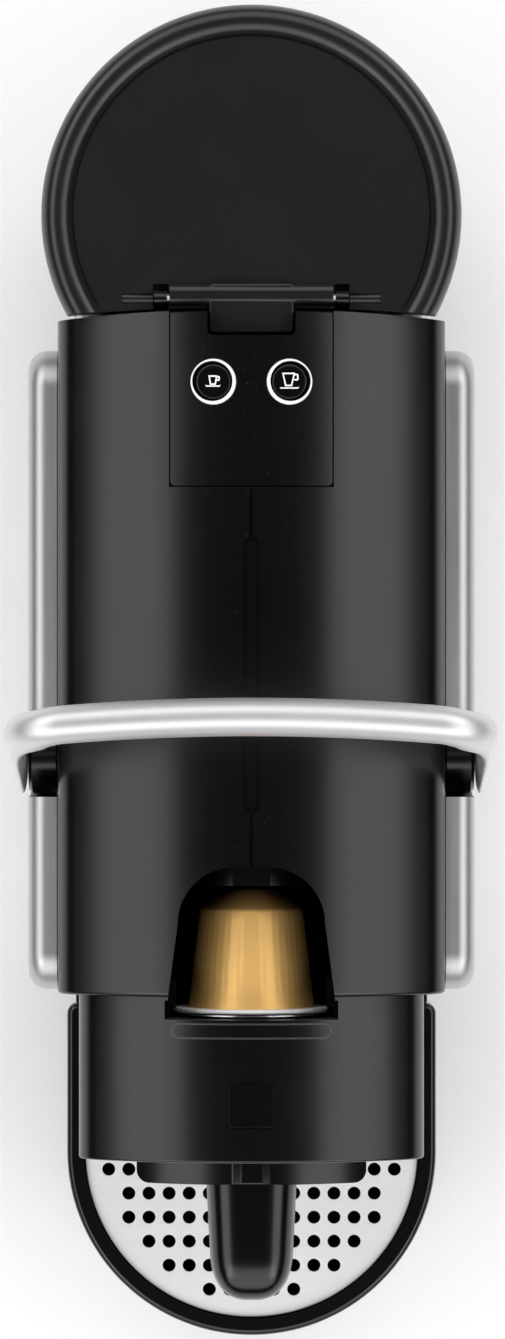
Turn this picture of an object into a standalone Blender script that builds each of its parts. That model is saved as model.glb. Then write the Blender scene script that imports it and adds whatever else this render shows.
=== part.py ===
"""Pod coffee machine, modelled as an assembly of separate pieces.

Run it with: blender --background --python part.py
Metres, +Z up. The front (drip tray) faces -Y, the water tank is at +Y. The origin is on the table
under the middle of the machine. The lever stands raised, as it does while a pod is put in.
"""

import math

import bmesh
import bpy
from mathutils import Matrix, Vector

mm = 0.001

# ---- driving dimensions -------------------------------------------------------------------------
GAP = 0.3 * mm  # between pieces that touch
SLIDE_GAP = 0.6 * mm  # between pieces that slide past each other
STEPS = 6  # segments in a quarter of a small arc

# Housing: a tunnel with a crowned top, open underneath
BODY_HALF_WIDTH = 45.2 * mm
BODY_FRONT = -66.3 * mm
BODY_REAR = 90.2 * mm
BODY_REAR_BULGE = 2.0 * mm
BODY_TOP = 226.0 * mm
CROWN_RADIUS = 75.0 * mm
SHOULDER_RADIUS = 9.0 * mm
WALL = 2.5 * mm

# Base and feet
BASE_BOTTOM = 2.8 * mm
BASE_TOP = 14.0 * mm
BASE_INSET = 1.2 * mm
FOOT_RADIUS = 7.0 * mm
FOOT_HEIGHT = 4.5 * mm
FOOT_PLACES = ((34 * mm, -50 * mm), (28 * mm, 132 * mm))
SCREW_PLACES = ((38.7 * mm, -28 * mm), (38.7 * mm, 76 * mm))
SCREW_RADIUS = 1.9 * mm
SCREW_LENGTH = 20.0 * mm

# Head: the narrower nose over the cup space
HEAD_HALF_WIDTH = BODY_HALF_WIDTH - 4.9 * mm
HEAD_FRONT = BODY_FRONT - 38.6 * mm
HEAD_TOP = BODY_TOP - 4.5 * mm
HEAD_BOTTOM = HEAD_TOP - 73.5 * mm

# Aluminium side panels
PANEL_OUTER = BODY_HALF_WIDTH + 7.1 * mm
PANEL_FRONT = BODY_FRONT + 0.4 * mm
PANEL_REAR = BODY_REAR - 6.1 * mm
PANEL_BOTTOM = 17.0 * mm
PANEL_TOP = BODY_TOP - 23.0 * mm
PANEL_SHEET = 1.5 * mm
PANEL_CORNER = 9.0 * mm
PANEL_EDGE = 3.0 * mm

# Control panel and buttons
CONTROL_HALF_WIDTH = 19.0 * mm
CONTROL_FRONT = BODY_REAR - 38.9 * mm
BUTTON_X = 8.75 * mm
BUTTON_Y = CONTROL_FRONT + 24.2 * mm
BUTTON_RADIUS = 4.0 * mm
RING_RADIUS = 5.3 * mm
BUTTON_TRAVEL = 1.2 * mm
TAB_HALF_WIDTH = 9.8 * mm
TAB_FRONT = BODY_REAR - 3.2 * mm

# Water tank
TANK_FRONT = BODY_REAR + BODY_REAR_BULGE + 1.0 * mm
TANK_RADIUS = 47.0 * mm
TANK_Y = TANK_FRONT + 21.3 * mm
TANK_WALL = 2.2 * mm
TANK_TOP = BODY_TOP - 15.0 * mm
LID_RADIUS = TANK_RADIUS + 1.7 * mm
LID_TOP = TANK_TOP + 11.0 * mm
LID_AXIS_Y = TANK_FRONT + 1.6 * mm
LID_AXIS_Z = LID_TOP - 2.2 * mm
VALVE_RADIUS = 8.0 * mm

# Brew unit: the pod lies on its side on this axis, its rim against the front
BREW_Z = BODY_TOP - 28.0 * mm
RIM_Y = BODY_FRONT - 3.9 * mm
POD_RIM_RADIUS = 18.5 * mm
POD_RADIUS = 14.8 * mm
POD_SHOULDER_RADIUS = 12.0 * mm
POD_TIP_RADIUS = 5.3 * mm
POD_SHOULDER_Y = RIM_Y + 23.4 * mm
POD_TIP_Y = POD_SHOULDER_Y + 4.5 * mm
SLOT_FRONT = RIM_Y - 1.6 * mm
SLOT_REAR = POD_TIP_Y + 5.9 * mm
SLOT_HALF_WIDTH = POD_RIM_RADIUS + 1.6 * mm
CAGE_FRONT = POD_TIP_Y + 1.3 * mm
CAGE_REAR = CAGE_FRONT + 34.0 * mm
CAGE_RADIUS = 18.2 * mm
CAGE_LIP_RADIUS = 16.9 * mm
FRAME_BOTTOM = BREW_Z - 24.0 * mm
FRAME_TOP = BREW_Z + 18.0 * mm
FRAME_FLOOR = 2.5 * mm
FRAME_REAR = 36.0 * mm
FRAME_INNER = 26.2 * mm
FRAME_OUTER = 29.0 * mm

# Lever and its cranks
PIVOT_Y = CAGE_REAR - 4.0 * mm
PIVOT_Z = BREW_Z - 12.0 * mm
LEVER_LEAN = 4.5  # degrees back from upright, at rest
LEVER_TRAVEL = 64.0  # degrees forward to closed
LEVER_LENGTH = 90.0 * mm  # pivot to the outside of the bar
LEVER_HALF_WIDTH = PANEL_OUTER + 3.2 * mm
ARM_THICKNESS = 2.8 * mm
BAR_DEPTH = 12.0 * mm
BAR_THICKNESS = 8.0 * mm
BAR_BOW = 3.0 * mm
HUB_RADIUS = 9.0 * mm
STUB_RADIUS = 5.0 * mm
CRANK_RADIUS = 27.0 * mm
CRANK_PIN_RADIUS = 2.2 * mm
YOKE_CLEARANCE = 0.5 * mm

# Coffee outlet
OUTLET_HALF_WIDTH = 28.0 * mm
OUTLET_FRONT = HEAD_FRONT - 10.9 * mm
OUTLET_BOTTOM = HEAD_BOTTOM - 12.0 * mm
SPOUT_HALF_WIDTH = 11.1 * mm
SPOUT_TIP = OUTLET_FRONT - 29.1 * mm
SPOUT_BOTTOM = OUTLET_BOTTOM - 2.8 * mm
SPOUT_REAR = HEAD_FRONT + 4.7 * mm
DUCT_Y = HEAD_FRONT + 16.9 * mm

# Drip tray, cup support and pod container
TRAY_Y = HEAD_FRONT - 10.2 * mm
SUPPORT_RADIUS = 47.6 * mm
SUPPORT_RIM = 4.3 * mm
SUPPORT_BACK = BODY_FRONT - 10.7 * mm
SUPPORT_BOTTOM = 39.0 * mm
SUPPORT_TOP = SUPPORT_BOTTOM + 8.5 * mm
GRID_TOP = SUPPORT_TOP - 1.7 * mm
GRID_THICKNESS = 1.2 * mm
TRAY_BOTTOM = 0.6 * mm
TRAY_WALL = 2.2 * mm
FOLD_Y = SUPPORT_BACK + 3.5 * mm
FOLD_Z = SUPPORT_BOTTOM + 3.0 * mm
FOLD_KNUCKLE = 3.0 * mm
FOLD_PIN = 1.3 * mm
CONTAINER_HALF_WIDTH = 34.0 * mm
CONTAINER_FRONT = BODY_FRONT - 1.1 * mm
CONTAINER_REAR = -12.0 * mm
CONTAINER_TOP = HEAD_BOTTOM - 20.0 * mm
CONTAINER_WALL = 1.8 * mm

# Grid holes
HOLE_RADIUS = 1.7 * mm
HOLE_PITCH_X = 5.2 * mm
HOLE_PITCH_Y = 6.2 * mm
HOLE_FIRST_X = 5.7 * mm
HOLE_FRONT_Y = TRAY_Y - 35.8 * mm
HOLE_ROWS = 10
HOLE_FIELD_RADIUS = 37.8 * mm

# Smaller places that several pieces share
HEAD_CROWN_RADIUS = CROWN_RADIUS - 9.0 * mm
GROOVE_WIDTH = 3.7 * mm
GROOVE_FRONT = SLOT_REAR + 12.7 * mm
GROOVE_REAR = CONTROL_FRONT - 11.5 * mm
CONTROL_BOTTOM = BODY_TOP - 5.0 * mm
BOARD_Z = CONTROL_BOTTOM - 7.0 * mm
DOCK_RADIUS = 9.0 * mm
DOCK_BOTTOM = 8.3 * mm
DOCK_CHANNEL = 4.0 * mm
DUCT_RADIUS = 3.6 * mm
GLAND_Y = 60.0 * mm
GLAND_Z = 8.6 * mm
GLAND_RADIUS = 4.2 * mm
PLATE_FRONT = RIM_Y - 8.8 * mm
PLATE_FACE = RIM_Y - 1.9 * mm
GUIDE_REAR = RIM_Y + 7.4 * mm
PUMP_Y = 62.0 * mm
PISTON_RADIUS = 4.0 * mm
METER_X = 31.0 * mm
METER_Y = 55.0 * mm
HOSE_RADIUS = 2.2 * mm
INJECTOR_RADIUS = 2.2 * mm
DOCK_TOP = 15.6 * mm
BOSS_REAR = 22.0 * mm
BOSS_RADIUS = 5.5 * mm
EAR_OUTER = 21.2 * mm
PIN_LOW = BREW_Z + 10.4 * mm
PIN_HIGH = BREW_Z + 15.2 * mm
HUB_OUTER = PANEL_OUTER + 0.2 * mm
TANK_BOTTOM = 17.0 * mm
VALVE_STEM = 3.5 * mm
EAR_LOW = 19.5 * mm
EAR_HIGH = 22.5 * mm
PIN_RADIUS = 1.0 * mm
CONTAINER_BOTTOM = 17.6 * mm
LUG_LOW = 22.0 * mm
LUG_HIGH = 29.4 * mm

COLOURS = {
    "black_plastic": ((0.012, 0.012, 0.013), 0.42, 0.0),
    "gloss_plastic": ((0.006, 0.006, 0.007), 0.15, 0.0),
    "rubber": ((0.02, 0.02, 0.02), 0.8, 0.0),
    "aluminium": ((0.62, 0.62, 0.63), 0.32, 1.0),
    "chrome": ((0.75, 0.75, 0.76), 0.12, 1.0),
    "steel": ((0.70, 0.70, 0.70), 0.30, 1.0),
    "brass": ((0.65, 0.47, 0.18), 0.35, 1.0),
    "gold_aluminium": ((0.80, 0.48, 0.13), 0.35, 1.0),
    "foil": ((0.85, 0.85, 0.85), 0.30, 1.0),
    "smoked_clear": ((0.05, 0.05, 0.055), 0.10, 0.0),
    "light_ring": ((0.85, 0.85, 0.85), 0.30, 0.0),
    "board": ((0.02, 0.12, 0.05), 0.55, 0.0),
    "silicone": ((0.75, 0.74, 0.70), 0.60, 0.0),
}


# ---- scene, materials and modifiers -------------------------------------------------------------
def clear_scene():
    for obj in list(bpy.data.objects):
        bpy.data.objects.remove(obj, do_unlink=True)


def new_collection(name):
    collection = bpy.data.collections.new(name)
    bpy.context.scene.collection.children.link(collection)
    return collection


def material(name):
    found = bpy.data.materials.get(name)
    if found:
        return found
    colour, roughness, metallic = COLOURS[name]
    made = bpy.data.materials.new(name)
    made.use_nodes = True
    shader = made.node_tree.nodes["Principled BSDF"]
    shader.inputs["Base Color"].default_value = (*colour, 1)
    shader.inputs["Roughness"].default_value = roughness
    shader.inputs["Metallic"].default_value = metallic
    return made


def place_in(obj, collection):
    for old in list(obj.users_collection):
        old.objects.unlink(obj)
    collection.objects.link(obj)


def finish(obj, name, finish_name):
    """Names a piece, gives it its material and smooth shading, and puts it with the parts."""
    obj.name = name
    obj.data.name = name
    obj.data.materials.clear()
    obj.data.materials.append(material(finish_name))
    if obj.type == "MESH":
        obj.data.shade_smooth()
        obj.data.set_sharp_from_angle(angle=math.radians(30))
    place_in(obj, PARTS)
    return obj


def as_cutter(obj):
    """A helper that shapes another piece and isn't one itself."""
    place_in(obj, CUTTERS)
    obj.hide_render = True
    obj.display_type = "WIRE"
    return obj


def combine(obj, other, operation):
    """Adds a Boolean of obj with a helper. Only a part's own helper is hidden."""
    modifier = obj.modifiers.new(operation.lower(), "BOOLEAN")
    modifier.operation = operation
    modifier.object = as_cutter(other)
    modifier.solver = "EXACT"
    return obj


def cut(obj, *others):
    for other in others:
        combine(obj, other, "DIFFERENCE")
    return obj


def join(obj, *others):
    for other in others:
        combine(obj, other, "UNION")
    return obj


def keep_inside(obj, other):
    return combine(obj, other, "INTERSECT")


def bevel(obj, width, segments=2, angle=50):
    modifier = obj.modifiers.new("bevel", "BEVEL")
    modifier.width = width
    modifier.segments = segments
    modifier.limit_method = "ANGLE"
    modifier.angle_limit = math.radians(angle)
    modifier.use_clamp_overlap = True
    return obj


# ---- shapes ---------------------------------------------------------------------------------------
def arc(centre, radius, start, end, steps=STEPS):
    """Points on an arc, in degrees, both ends included."""
    angles = [math.radians(start + (end - start) * i / steps) for i in range(steps + 1)]
    return [(centre[0] + radius * math.cos(a), centre[1] + radius * math.sin(a)) for a in angles]


def rounded(corners, radius, steps=4):
    """A convex or concave outline of corners, each rounded to the same radius."""
    points = []
    for i, corner in enumerate(corners):
        here = Vector(corner)
        to_last = (Vector(corners[i - 1]) - here).normalized()
        to_next = (Vector(corners[(i + 1) % len(corners)]) - here).normalized()
        half = to_last.angle(to_next) / 2
        centre = here + (to_last + to_next).normalized() * (radius / math.sin(half))
        first = here + to_last * (radius / math.tan(half))
        last = here + to_next * (radius / math.tan(half))
        start = math.atan2(first.y - centre.y, first.x - centre.x)
        turn = math.atan2(last.y - centre.y, last.x - centre.x) - start
        turn = (turn + math.pi) % (2 * math.pi) - math.pi
        for k in range(steps + 1):
            a = start + turn * k / steps
            points.append((centre.x + radius * math.cos(a), centre.y + radius * math.sin(a)))
    return points


def rectangle(low_x, low_y, high_x, high_y):
    return [(low_x, low_y), (high_x, low_y), (high_x, high_y), (low_x, high_y)]


def circle(centre, radius, sides=24):
    return arc(centre, radius, 0, 360 - 360 / sides, sides - 1)


def arch(half_width, top, bottom, crown_radius, shoulder_radius):
    """The crowned tunnel section: upright sides, shoulders and one long arc over the top."""
    crown_z = top - crown_radius
    reach = crown_radius - shoulder_radius
    shoulder_x = half_width - shoulder_radius
    shoulder_z = crown_z + math.sqrt(reach**2 - shoulder_x**2)
    meet = math.degrees(math.atan2(shoulder_z - crown_z, shoulder_x))
    right = arc((shoulder_x, shoulder_z), shoulder_radius, 0, meet, 5)
    crown = arc((0, crown_z), crown_radius, meet, 180 - meet, 16)[1:-1]
    left = arc((-shoulder_x, shoulder_z), shoulder_radius, 180 - meet, 180, 5)
    return [(half_width, bottom), *right, *crown, *left, (-half_width, bottom)]


def crown_drop(x):
    """How far the crown lies below its top at x."""
    return CROWN_RADIUS - math.sqrt(CROWN_RADIUS**2 - x**2)


TURNS = {
    "X": Matrix(((0, 0, 1), (1, 0, 0), (0, 1, 0))).to_4x4(),
    "Y": Matrix(((1, 0, 0), (0, 0, -1), (0, 1, 0))).to_4x4(),
    "Z": Matrix.Identity(4),
}


def extruded(outline, low, high, axis="Z", holes=()):
    """An outline drawn in the other two axes and extruded along one. Holes are outlines inside it."""
    curve = bpy.data.curves.new("outline", "CURVE")
    curve.dimensions = "2D"
    curve.fill_mode = "BOTH"
    curve.extrude = (high - low) / 2
    for points in (outline, *holes):
        spline = curve.splines.new("POLY")
        spline.points.add(len(points) - 1)
        for point, (x, y) in zip(spline.points, points, strict=True):
            point.co = (x, y, 0, 1)
        spline.use_cyclic_u = True
    guide = bpy.data.objects.new("outline", curve)
    bpy.context.scene.collection.objects.link(guide)
    middle = {"X": ((low + high) / 2, 0, 0), "Y": (0, (low + high) / 2, 0), "Z": (0, 0, (low + high) / 2)}
    guide.matrix_world = Matrix.Translation(middle[axis]) @ TURNS[axis]
    return to_mesh(guide)


def to_mesh(guide):
    """A curve made a closed mesh, its caps welded to its sides."""
    bpy.context.view_layer.update()
    mesh = bpy.data.meshes.new_from_object(guide.evaluated_get(bpy.context.evaluated_depsgraph_get()))
    mesh.transform(guide.matrix_world)
    made = bmesh.new()
    made.from_mesh(mesh)
    bmesh.ops.remove_doubles(made, verts=made.verts, dist=0.002 * mm)
    bmesh.ops.recalc_face_normals(made, faces=made.faces)
    made.to_mesh(mesh)
    made.free()
    obj = bpy.data.objects.new("solid", mesh)
    bpy.context.scene.collection.objects.link(obj)
    bpy.data.objects.remove(guide, do_unlink=True)
    return obj


def box(low, high):
    """A box between two corners."""
    size = Vector(high) - Vector(low)
    bpy.ops.mesh.primitive_cube_add(size=1, location=(Vector(low) + Vector(high)) / 2)
    obj = bpy.context.object
    obj.data.transform(Matrix.Diagonal((*size, 1)))
    return obj


def rod(centre, radius, low, high, axis="Z", sides=24):
    """A cylinder along an axis; centre is its place in the other two."""
    bpy.ops.mesh.primitive_cylinder_add(vertices=sides, radius=radius, depth=high - low)
    obj = bpy.context.object
    middle = (low + high) / 2
    places = {
        "X": (middle, centre[0], centre[1]),
        "Y": (centre[0], middle, centre[1]),
        "Z": (centre[0], centre[1], middle),
    }
    obj.data.transform(Matrix.Translation(places[axis]) @ TURNS[axis])
    return obj


def turned(profile, axis="Z", centre=(0, 0), sides=32):
    """A profile of (radius, height) turned once. Profiles run down the outer side, top to bottom."""
    mesh = bpy.data.meshes.new("profile")
    mesh.from_pydata([(r, 0, h) for r, h in profile], [(i, i + 1) for i in range(len(profile) - 1)], [])
    obj = bpy.data.objects.new("profile", mesh)
    bpy.context.scene.collection.objects.link(obj)
    screw = obj.modifiers.new("turn", "SCREW")
    screw.axis = "Z"
    screw.steps = sides
    screw.render_steps = sides
    screw.use_merge_vertices = True
    screw.merge_threshold = 0.01 * mm
    bpy.context.view_layer.update()
    solid = bpy.data.meshes.new_from_object(obj.evaluated_get(bpy.context.evaluated_depsgraph_get()))
    if axis == "Y":
        place = Matrix.Translation((centre[0], 0, centre[1])) @ Matrix.Rotation(math.radians(-90), 4, "X")
    else:
        place = Matrix.Translation((centre[0], centre[1], 0))
    solid.transform(place)
    made = bmesh.new()
    made.from_mesh(solid)
    bmesh.ops.remove_doubles(made, verts=made.verts, dist=0.002 * mm)
    bmesh.ops.recalc_face_normals(made, faces=made.faces)
    made.to_mesh(solid)
    made.free()
    bpy.data.objects.remove(obj, do_unlink=True)
    made_object = bpy.data.objects.new("turned", solid)
    bpy.context.scene.collection.objects.link(made_object)
    return made_object


def hose(points, radius):
    """A bent tube through points, held by the machine all the way."""
    curve = bpy.data.curves.new("hose", "CURVE")
    curve.dimensions = "3D"
    curve.bevel_depth = radius
    curve.bevel_resolution = 1
    curve.use_fill_caps = True
    smooth = [p for i in range(len(points) - 1) for p in through(points, i)] + [points[-1]]
    spline = curve.splines.new("POLY")
    spline.points.add(len(smooth) - 1)
    for point, place in zip(spline.points, smooth, strict=True):
        point.co = (*place, 1)
    guide = bpy.data.objects.new("hose", curve)
    bpy.context.scene.collection.objects.link(guide)
    return to_mesh(guide)


def through(points, i, steps=3):
    """Points of a smooth curve from points[i] up to the next one."""
    last = len(points) - 1
    a, b, c, d = (Vector(points[min(max(k, 0), last)]) for k in (i - 1, i, i + 1, i + 2))
    found = []
    for k in range(steps):
        t = k / steps
        along = (2 * b + (c - a) * t + (2 * a - 5 * b + 4 * c - d) * t**2 + (3 * b - a - 3 * c + d) * t**3) / 2
        found.append(tuple(along))
    return found


def mirrored(obj):
    """A copy of a piece on the other side, as a mesh of its own."""
    bpy.context.view_layer.update()
    mesh = bpy.data.meshes.new_from_object(obj.evaluated_get(bpy.context.evaluated_depsgraph_get()))
    mesh.transform(obj.matrix_world)
    mesh.transform(Matrix.Diagonal((-1, 1, 1, 1)))
    mesh.flip_normals()
    copy = bpy.data.objects.new(obj.name + "_copy", mesh)
    bpy.context.scene.collection.objects.link(copy)
    return copy


def on_joint(name, place, pieces):
    """An empty on a joint's axis, which carries the pieces that move on it."""
    bpy.context.view_layer.update()
    empty = bpy.data.objects.new(name, None)
    PARTS.objects.link(empty)
    empty.location = place
    for piece in pieces:
        piece.parent = empty
        piece.matrix_parent_inverse = Matrix.Translation(place).inverted()
    return empty


def realised(obj):
    """A piece with its modifiers applied, ready to be bent or turned by its points."""
    bpy.context.view_layer.update()
    mesh = bpy.data.meshes.new_from_object(obj.evaluated_get(bpy.context.evaluated_depsgraph_get()))
    mesh.transform(obj.matrix_world)
    made = bpy.data.objects.new("realised", mesh)
    bpy.context.scene.collection.objects.link(made)
    for helper in [m.object for m in obj.modifiers if m.type == "BOOLEAN"] + [obj]:
        bpy.data.objects.remove(helper, do_unlink=True)
    return made


# ---- base, feet and housing -----------------------------------------------------------------------
def base():
    inner = BODY_HALF_WIDTH - BASE_INSET
    low = BODY_FRONT + BASE_INSET
    plate = extruded(rounded(rectangle(-inner, low, inner, BODY_REAR), 4 * mm), BASE_BOTTOM, BASE_TOP)
    tank_ring = extruded(circle((0, TANK_Y), TANK_RADIUS - BASE_INSET, 40), BASE_BOTTOM, BASE_TOP)
    join(plate, tank_ring)
    for x, y in FOOT_PLACES:
        for side in (-1, 1):
            cut(plate, rod((side * x, y), FOOT_RADIUS + GAP, -1 * mm, FOOT_HEIGHT + GAP))
    for x, y in SCREW_PLACES:
        for side in (-1, 1):
            cut(plate, rod((side * x, y), SCREW_RADIUS + GAP, 0, BASE_TOP + 1 * mm, sides=12))
            cut(plate, rod((side * x, y), 2 * SCREW_RADIUS + GAP, 0, 6.6 * mm, sides=16))
    cut(
        plate,
        rod((0, TANK_Y), DOCK_RADIUS + GAP, DOCK_BOTTOM - GAP, BASE_TOP + 1 * mm),
        box((-DOCK_CHANNEL, 72.5 * mm, DOCK_BOTTOM - GAP), (DOCK_CHANNEL, TANK_Y, BASE_TOP + 1 * mm)),
        rod((GLAND_Y, GLAND_Z), GLAND_RADIUS + GAP, -50 * mm, -30 * mm, "X"),
        box(
            (-34 * mm, GLAND_Y - 5 * mm, GLAND_Z - 4 * mm),
            (-30 * mm, GLAND_Y + 5 * mm, BASE_TOP + 1 * mm),
        ),
    )
    finish(plate, "base_plate", "black_plastic")
    feet_and_screws()
    return plate


def feet_and_screws():
    rows = ("front", "rear")
    for row, (x, y) in zip(rows, FOOT_PLACES, strict=True):
        for side, word in ((-1, "left"), (1, "right")):
            foot = bevel(rod((side * x, y), FOOT_RADIUS, 0, FOOT_HEIGHT, sides=20), 0.8 * mm, 1)
            finish(foot, f"foot_{row}_{word}", "rubber")
    for row, (x, y) in zip(rows, SCREW_PLACES, strict=True):
        for side, word in ((-1, "left"), (1, "right")):
            head = 2 * SCREW_RADIUS
            profile = [(0, SCREW_LENGTH + 3.6 * mm), (SCREW_RADIUS, SCREW_LENGTH + 3.6 * mm)]
            profile += [(SCREW_RADIUS, 6.3 * mm), (head, 6.3 * mm), (head, 3.8 * mm), (0, 3.8 * mm)]
            screw = turned(profile, centre=(side * x, y), sides=12)
            finish(screw, f"base_screw_{row}_{word}", "steel")


def rear_plan(x_limit, offset, low_y):
    """Plan outline with the bowed rear, moved back or forward by an offset."""
    rear = BODY_REAR + offset
    steps = [i / 12 for i in range(13)]
    bow = [(x_limit * (1 - 2 * t), rear + BODY_REAR_BULGE * (1 - (1 - 2 * t) ** 2)) for t in steps]
    return [(-x_limit, low_y), (x_limit, low_y), *bow]


def slot_plan(clearance=0.0):
    """The pod opening from above: straight across the front, arched at the back."""
    half = SLOT_HALF_WIDTH + clearance
    rear = SLOT_REAR + clearance
    shoulder = -62 * mm
    depth = rear - shoulder
    curve = []
    for i in range(13):
        a = math.radians(180 * i / 12)
        reach = abs(math.sin(a)) ** 0.85
        curve.append((half * math.cos(a), shoulder + depth * reach))
    return [(-half, SLOT_FRONT), (half, SLOT_FRONT), *curve]


def housing():
    rear = BODY_REAR + BODY_REAR_BULGE
    tunnel = arch(BODY_HALF_WIDTH, BODY_TOP, BASE_TOP + GAP, CROWN_RADIUS, SHOULDER_RADIUS)
    shell = extruded(tunnel, BODY_FRONT, rear + 1 * mm, "Y")
    plan = rear_plan(BODY_HALF_WIDTH + 1 * mm, 0, BODY_FRONT - 1 * mm)
    keep_inside(shell, extruded(plan, 0, BODY_TOP + 5 * mm))
    inner = arch(
        BODY_HALF_WIDTH - WALL, BODY_TOP - WALL, 0, CROWN_RADIUS - WALL, SHOULDER_RADIUS - WALL
    )
    cut(shell, extruded(inner, BODY_FRONT + WALL, BODY_REAR - WALL, "Y"))
    for x, y in SCREW_PLACES:
        for side in (-1, 1):
            low, high = sorted((side * (x - 3.8 * mm), side * (BODY_HALF_WIDTH - 1 * mm)))
            boss = box((low, y - 4 * mm, BASE_TOP + GAP), (high, y + 4 * mm, BASE_TOP + 12.5 * mm))
            join(shell, boss)
            cut(shell, rod((side * x, y), SCREW_RADIUS + GAP, 0, BASE_TOP + 11 * mm, sides=12))
    opening = CONTAINER_HALF_WIDTH + 2 * mm
    front, back = BODY_FRONT - 1 * mm, BODY_FRONT + WALL + 1 * mm
    cut(
        shell,
        box((-opening, front, 0), (opening, back, CONTAINER_TOP + 4 * mm)),
        box((-FRAME_OUTER - 1 * mm, front, 156 * mm), (FRAME_OUTER + 1 * mm, back, BODY_TOP - 8.5 * mm)),
        extruded(slot_plan(), 205 * mm, BODY_TOP + 5 * mm),
        box(
            (-CONTROL_HALF_WIDTH, CONTROL_FRONT, CONTROL_BOTTOM - GAP),
            (CONTROL_HALF_WIDTH, rear + 2 * mm, BODY_TOP + 1 * mm),
        ),
        tab_recess(),
        rod((PIVOT_Y, PIVOT_Z), STUB_RADIUS + SLIDE_GAP, -60 * mm, 60 * mm, "X"),
        *top_grooves(),
        box((-DOCK_CHANNEL, 80 * mm, 0), (DOCK_CHANNEL, rear + 2 * mm, BASE_TOP + 1.5 * mm)),
    )
    return finish(shell, "housing", "black_plastic")


def top_grooves():
    """The long slot along the top and the two fine lines that carry on from its ends."""
    depth = BODY_TOP - 1.1 * mm
    high = BODY_TOP + 1 * mm
    half = GROOVE_WIDTH / 2
    slot = rounded(rectangle(-half, GROOVE_FRONT, half, GROOVE_REAR), half * 0.98)
    fine = 0.35 * mm
    return (
        extruded(slot, depth, high),
        box((-fine, GROOVE_REAR - half, depth + 0.5 * mm), (fine, CONTROL_FRONT - 1 * mm, high)),
        box((-fine, SLOT_REAR - 1 * mm, depth + 0.5 * mm), (fine, GROOVE_FRONT + half, high)),
    )


def tab_recess():
    """Room for the lid's finger tab, and for its swing down as the lid opens."""
    half = TAB_HALF_WIDTH + 0.6 * mm
    reach = LID_AXIS_Y - TAB_FRONT + 1.0 * mm
    return box((-half, TAB_FRONT - 0.8 * mm, LID_AXIS_Z - reach), (half, 100 * mm, BODY_TOP + 1 * mm))


def head():
    rear = BODY_FRONT - GAP
    outline = arch(HEAD_HALF_WIDTH, HEAD_TOP, HEAD_BOTTOM, HEAD_CROWN_RADIUS, SHOULDER_RADIUS)
    shell = extruded(outline, HEAD_FRONT, rear, "Y")
    bevel(shell, 1.5 * mm, 2, 60)
    inner = arch(
        HEAD_HALF_WIDTH - WALL,
        HEAD_TOP - WALL,
        HEAD_BOTTOM + WALL,
        HEAD_CROWN_RADIUS - WALL,
        SHOULDER_RADIUS - WALL,
    )
    cut(
        shell,
        extruded(inner, HEAD_FRONT + WALL, rear + 5 * mm, "Y"),
        extruded(slot_plan(), 205 * mm, BODY_TOP + 5 * mm),
        rod((0, DUCT_Y), DUCT_RADIUS + GAP, HEAD_BOTTOM - 2 * mm, HEAD_BOTTOM + WALL + 2 * mm, sides=16),
    )
    return finish(shell, "head_cover", "black_plastic")


def side_panels():
    corner = rounded(
        rectangle(PANEL_FRONT, PANEL_BOTTOM, PANEL_REAR, PANEL_TOP), PANEL_CORNER, 5
    )
    inner_x = BODY_HALF_WIDTH + GAP
    panel = extruded(corner, inner_x, PANEL_OUTER, "X")
    panel = bevelled_outer(panel)
    inset = PANEL_SHEET
    hollow = rounded(
        rectangle(
            PANEL_FRONT + inset, PANEL_BOTTOM + inset, PANEL_REAR - inset, PANEL_TOP - inset
        ),
        PANEL_CORNER - inset,
        5,
    )
    cut(panel, extruded(hollow, inner_x - 1 * mm, PANEL_OUTER - inset - 0.6 * mm, "X"))
    notch = HUB_RADIUS + SLIDE_GAP
    cut(
        panel,
        rod((PIVOT_Y, PIVOT_Z), notch, inner_x - 2 * mm, PANEL_OUTER + 2 * mm, "X", 32),
        box(
            (inner_x - 2 * mm, PIVOT_Y - notch, PIVOT_Z),
            (PANEL_OUTER + 2 * mm, PIVOT_Y + notch, PANEL_TOP + 5 * mm),
        ),
    )
    right = finish(panel, "side_panel_right", "aluminium")
    return right, finish(mirrored(right), "side_panel_left", "aluminium")


def bevelled_outer(panel):
    """Rolls the outer edge of a side panel in toward the housing."""
    made = bmesh.new()
    made.from_mesh(panel.data)
    outer = [
        e
        for e in made.edges
        if all(abs(v.co.x - PANEL_OUTER) < 0.01 * mm for v in e.verts)
        and len(e.link_faces) == 2
        and any(abs(f.normal.x) < 0.5 for f in e.link_faces)
    ]
    bmesh.ops.bevel(made, geom=outer, offset=PANEL_EDGE, segments=3, affect="EDGES", profile=0.5, material=-1)
    made.to_mesh(panel.data)
    made.free()
    return panel


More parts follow.
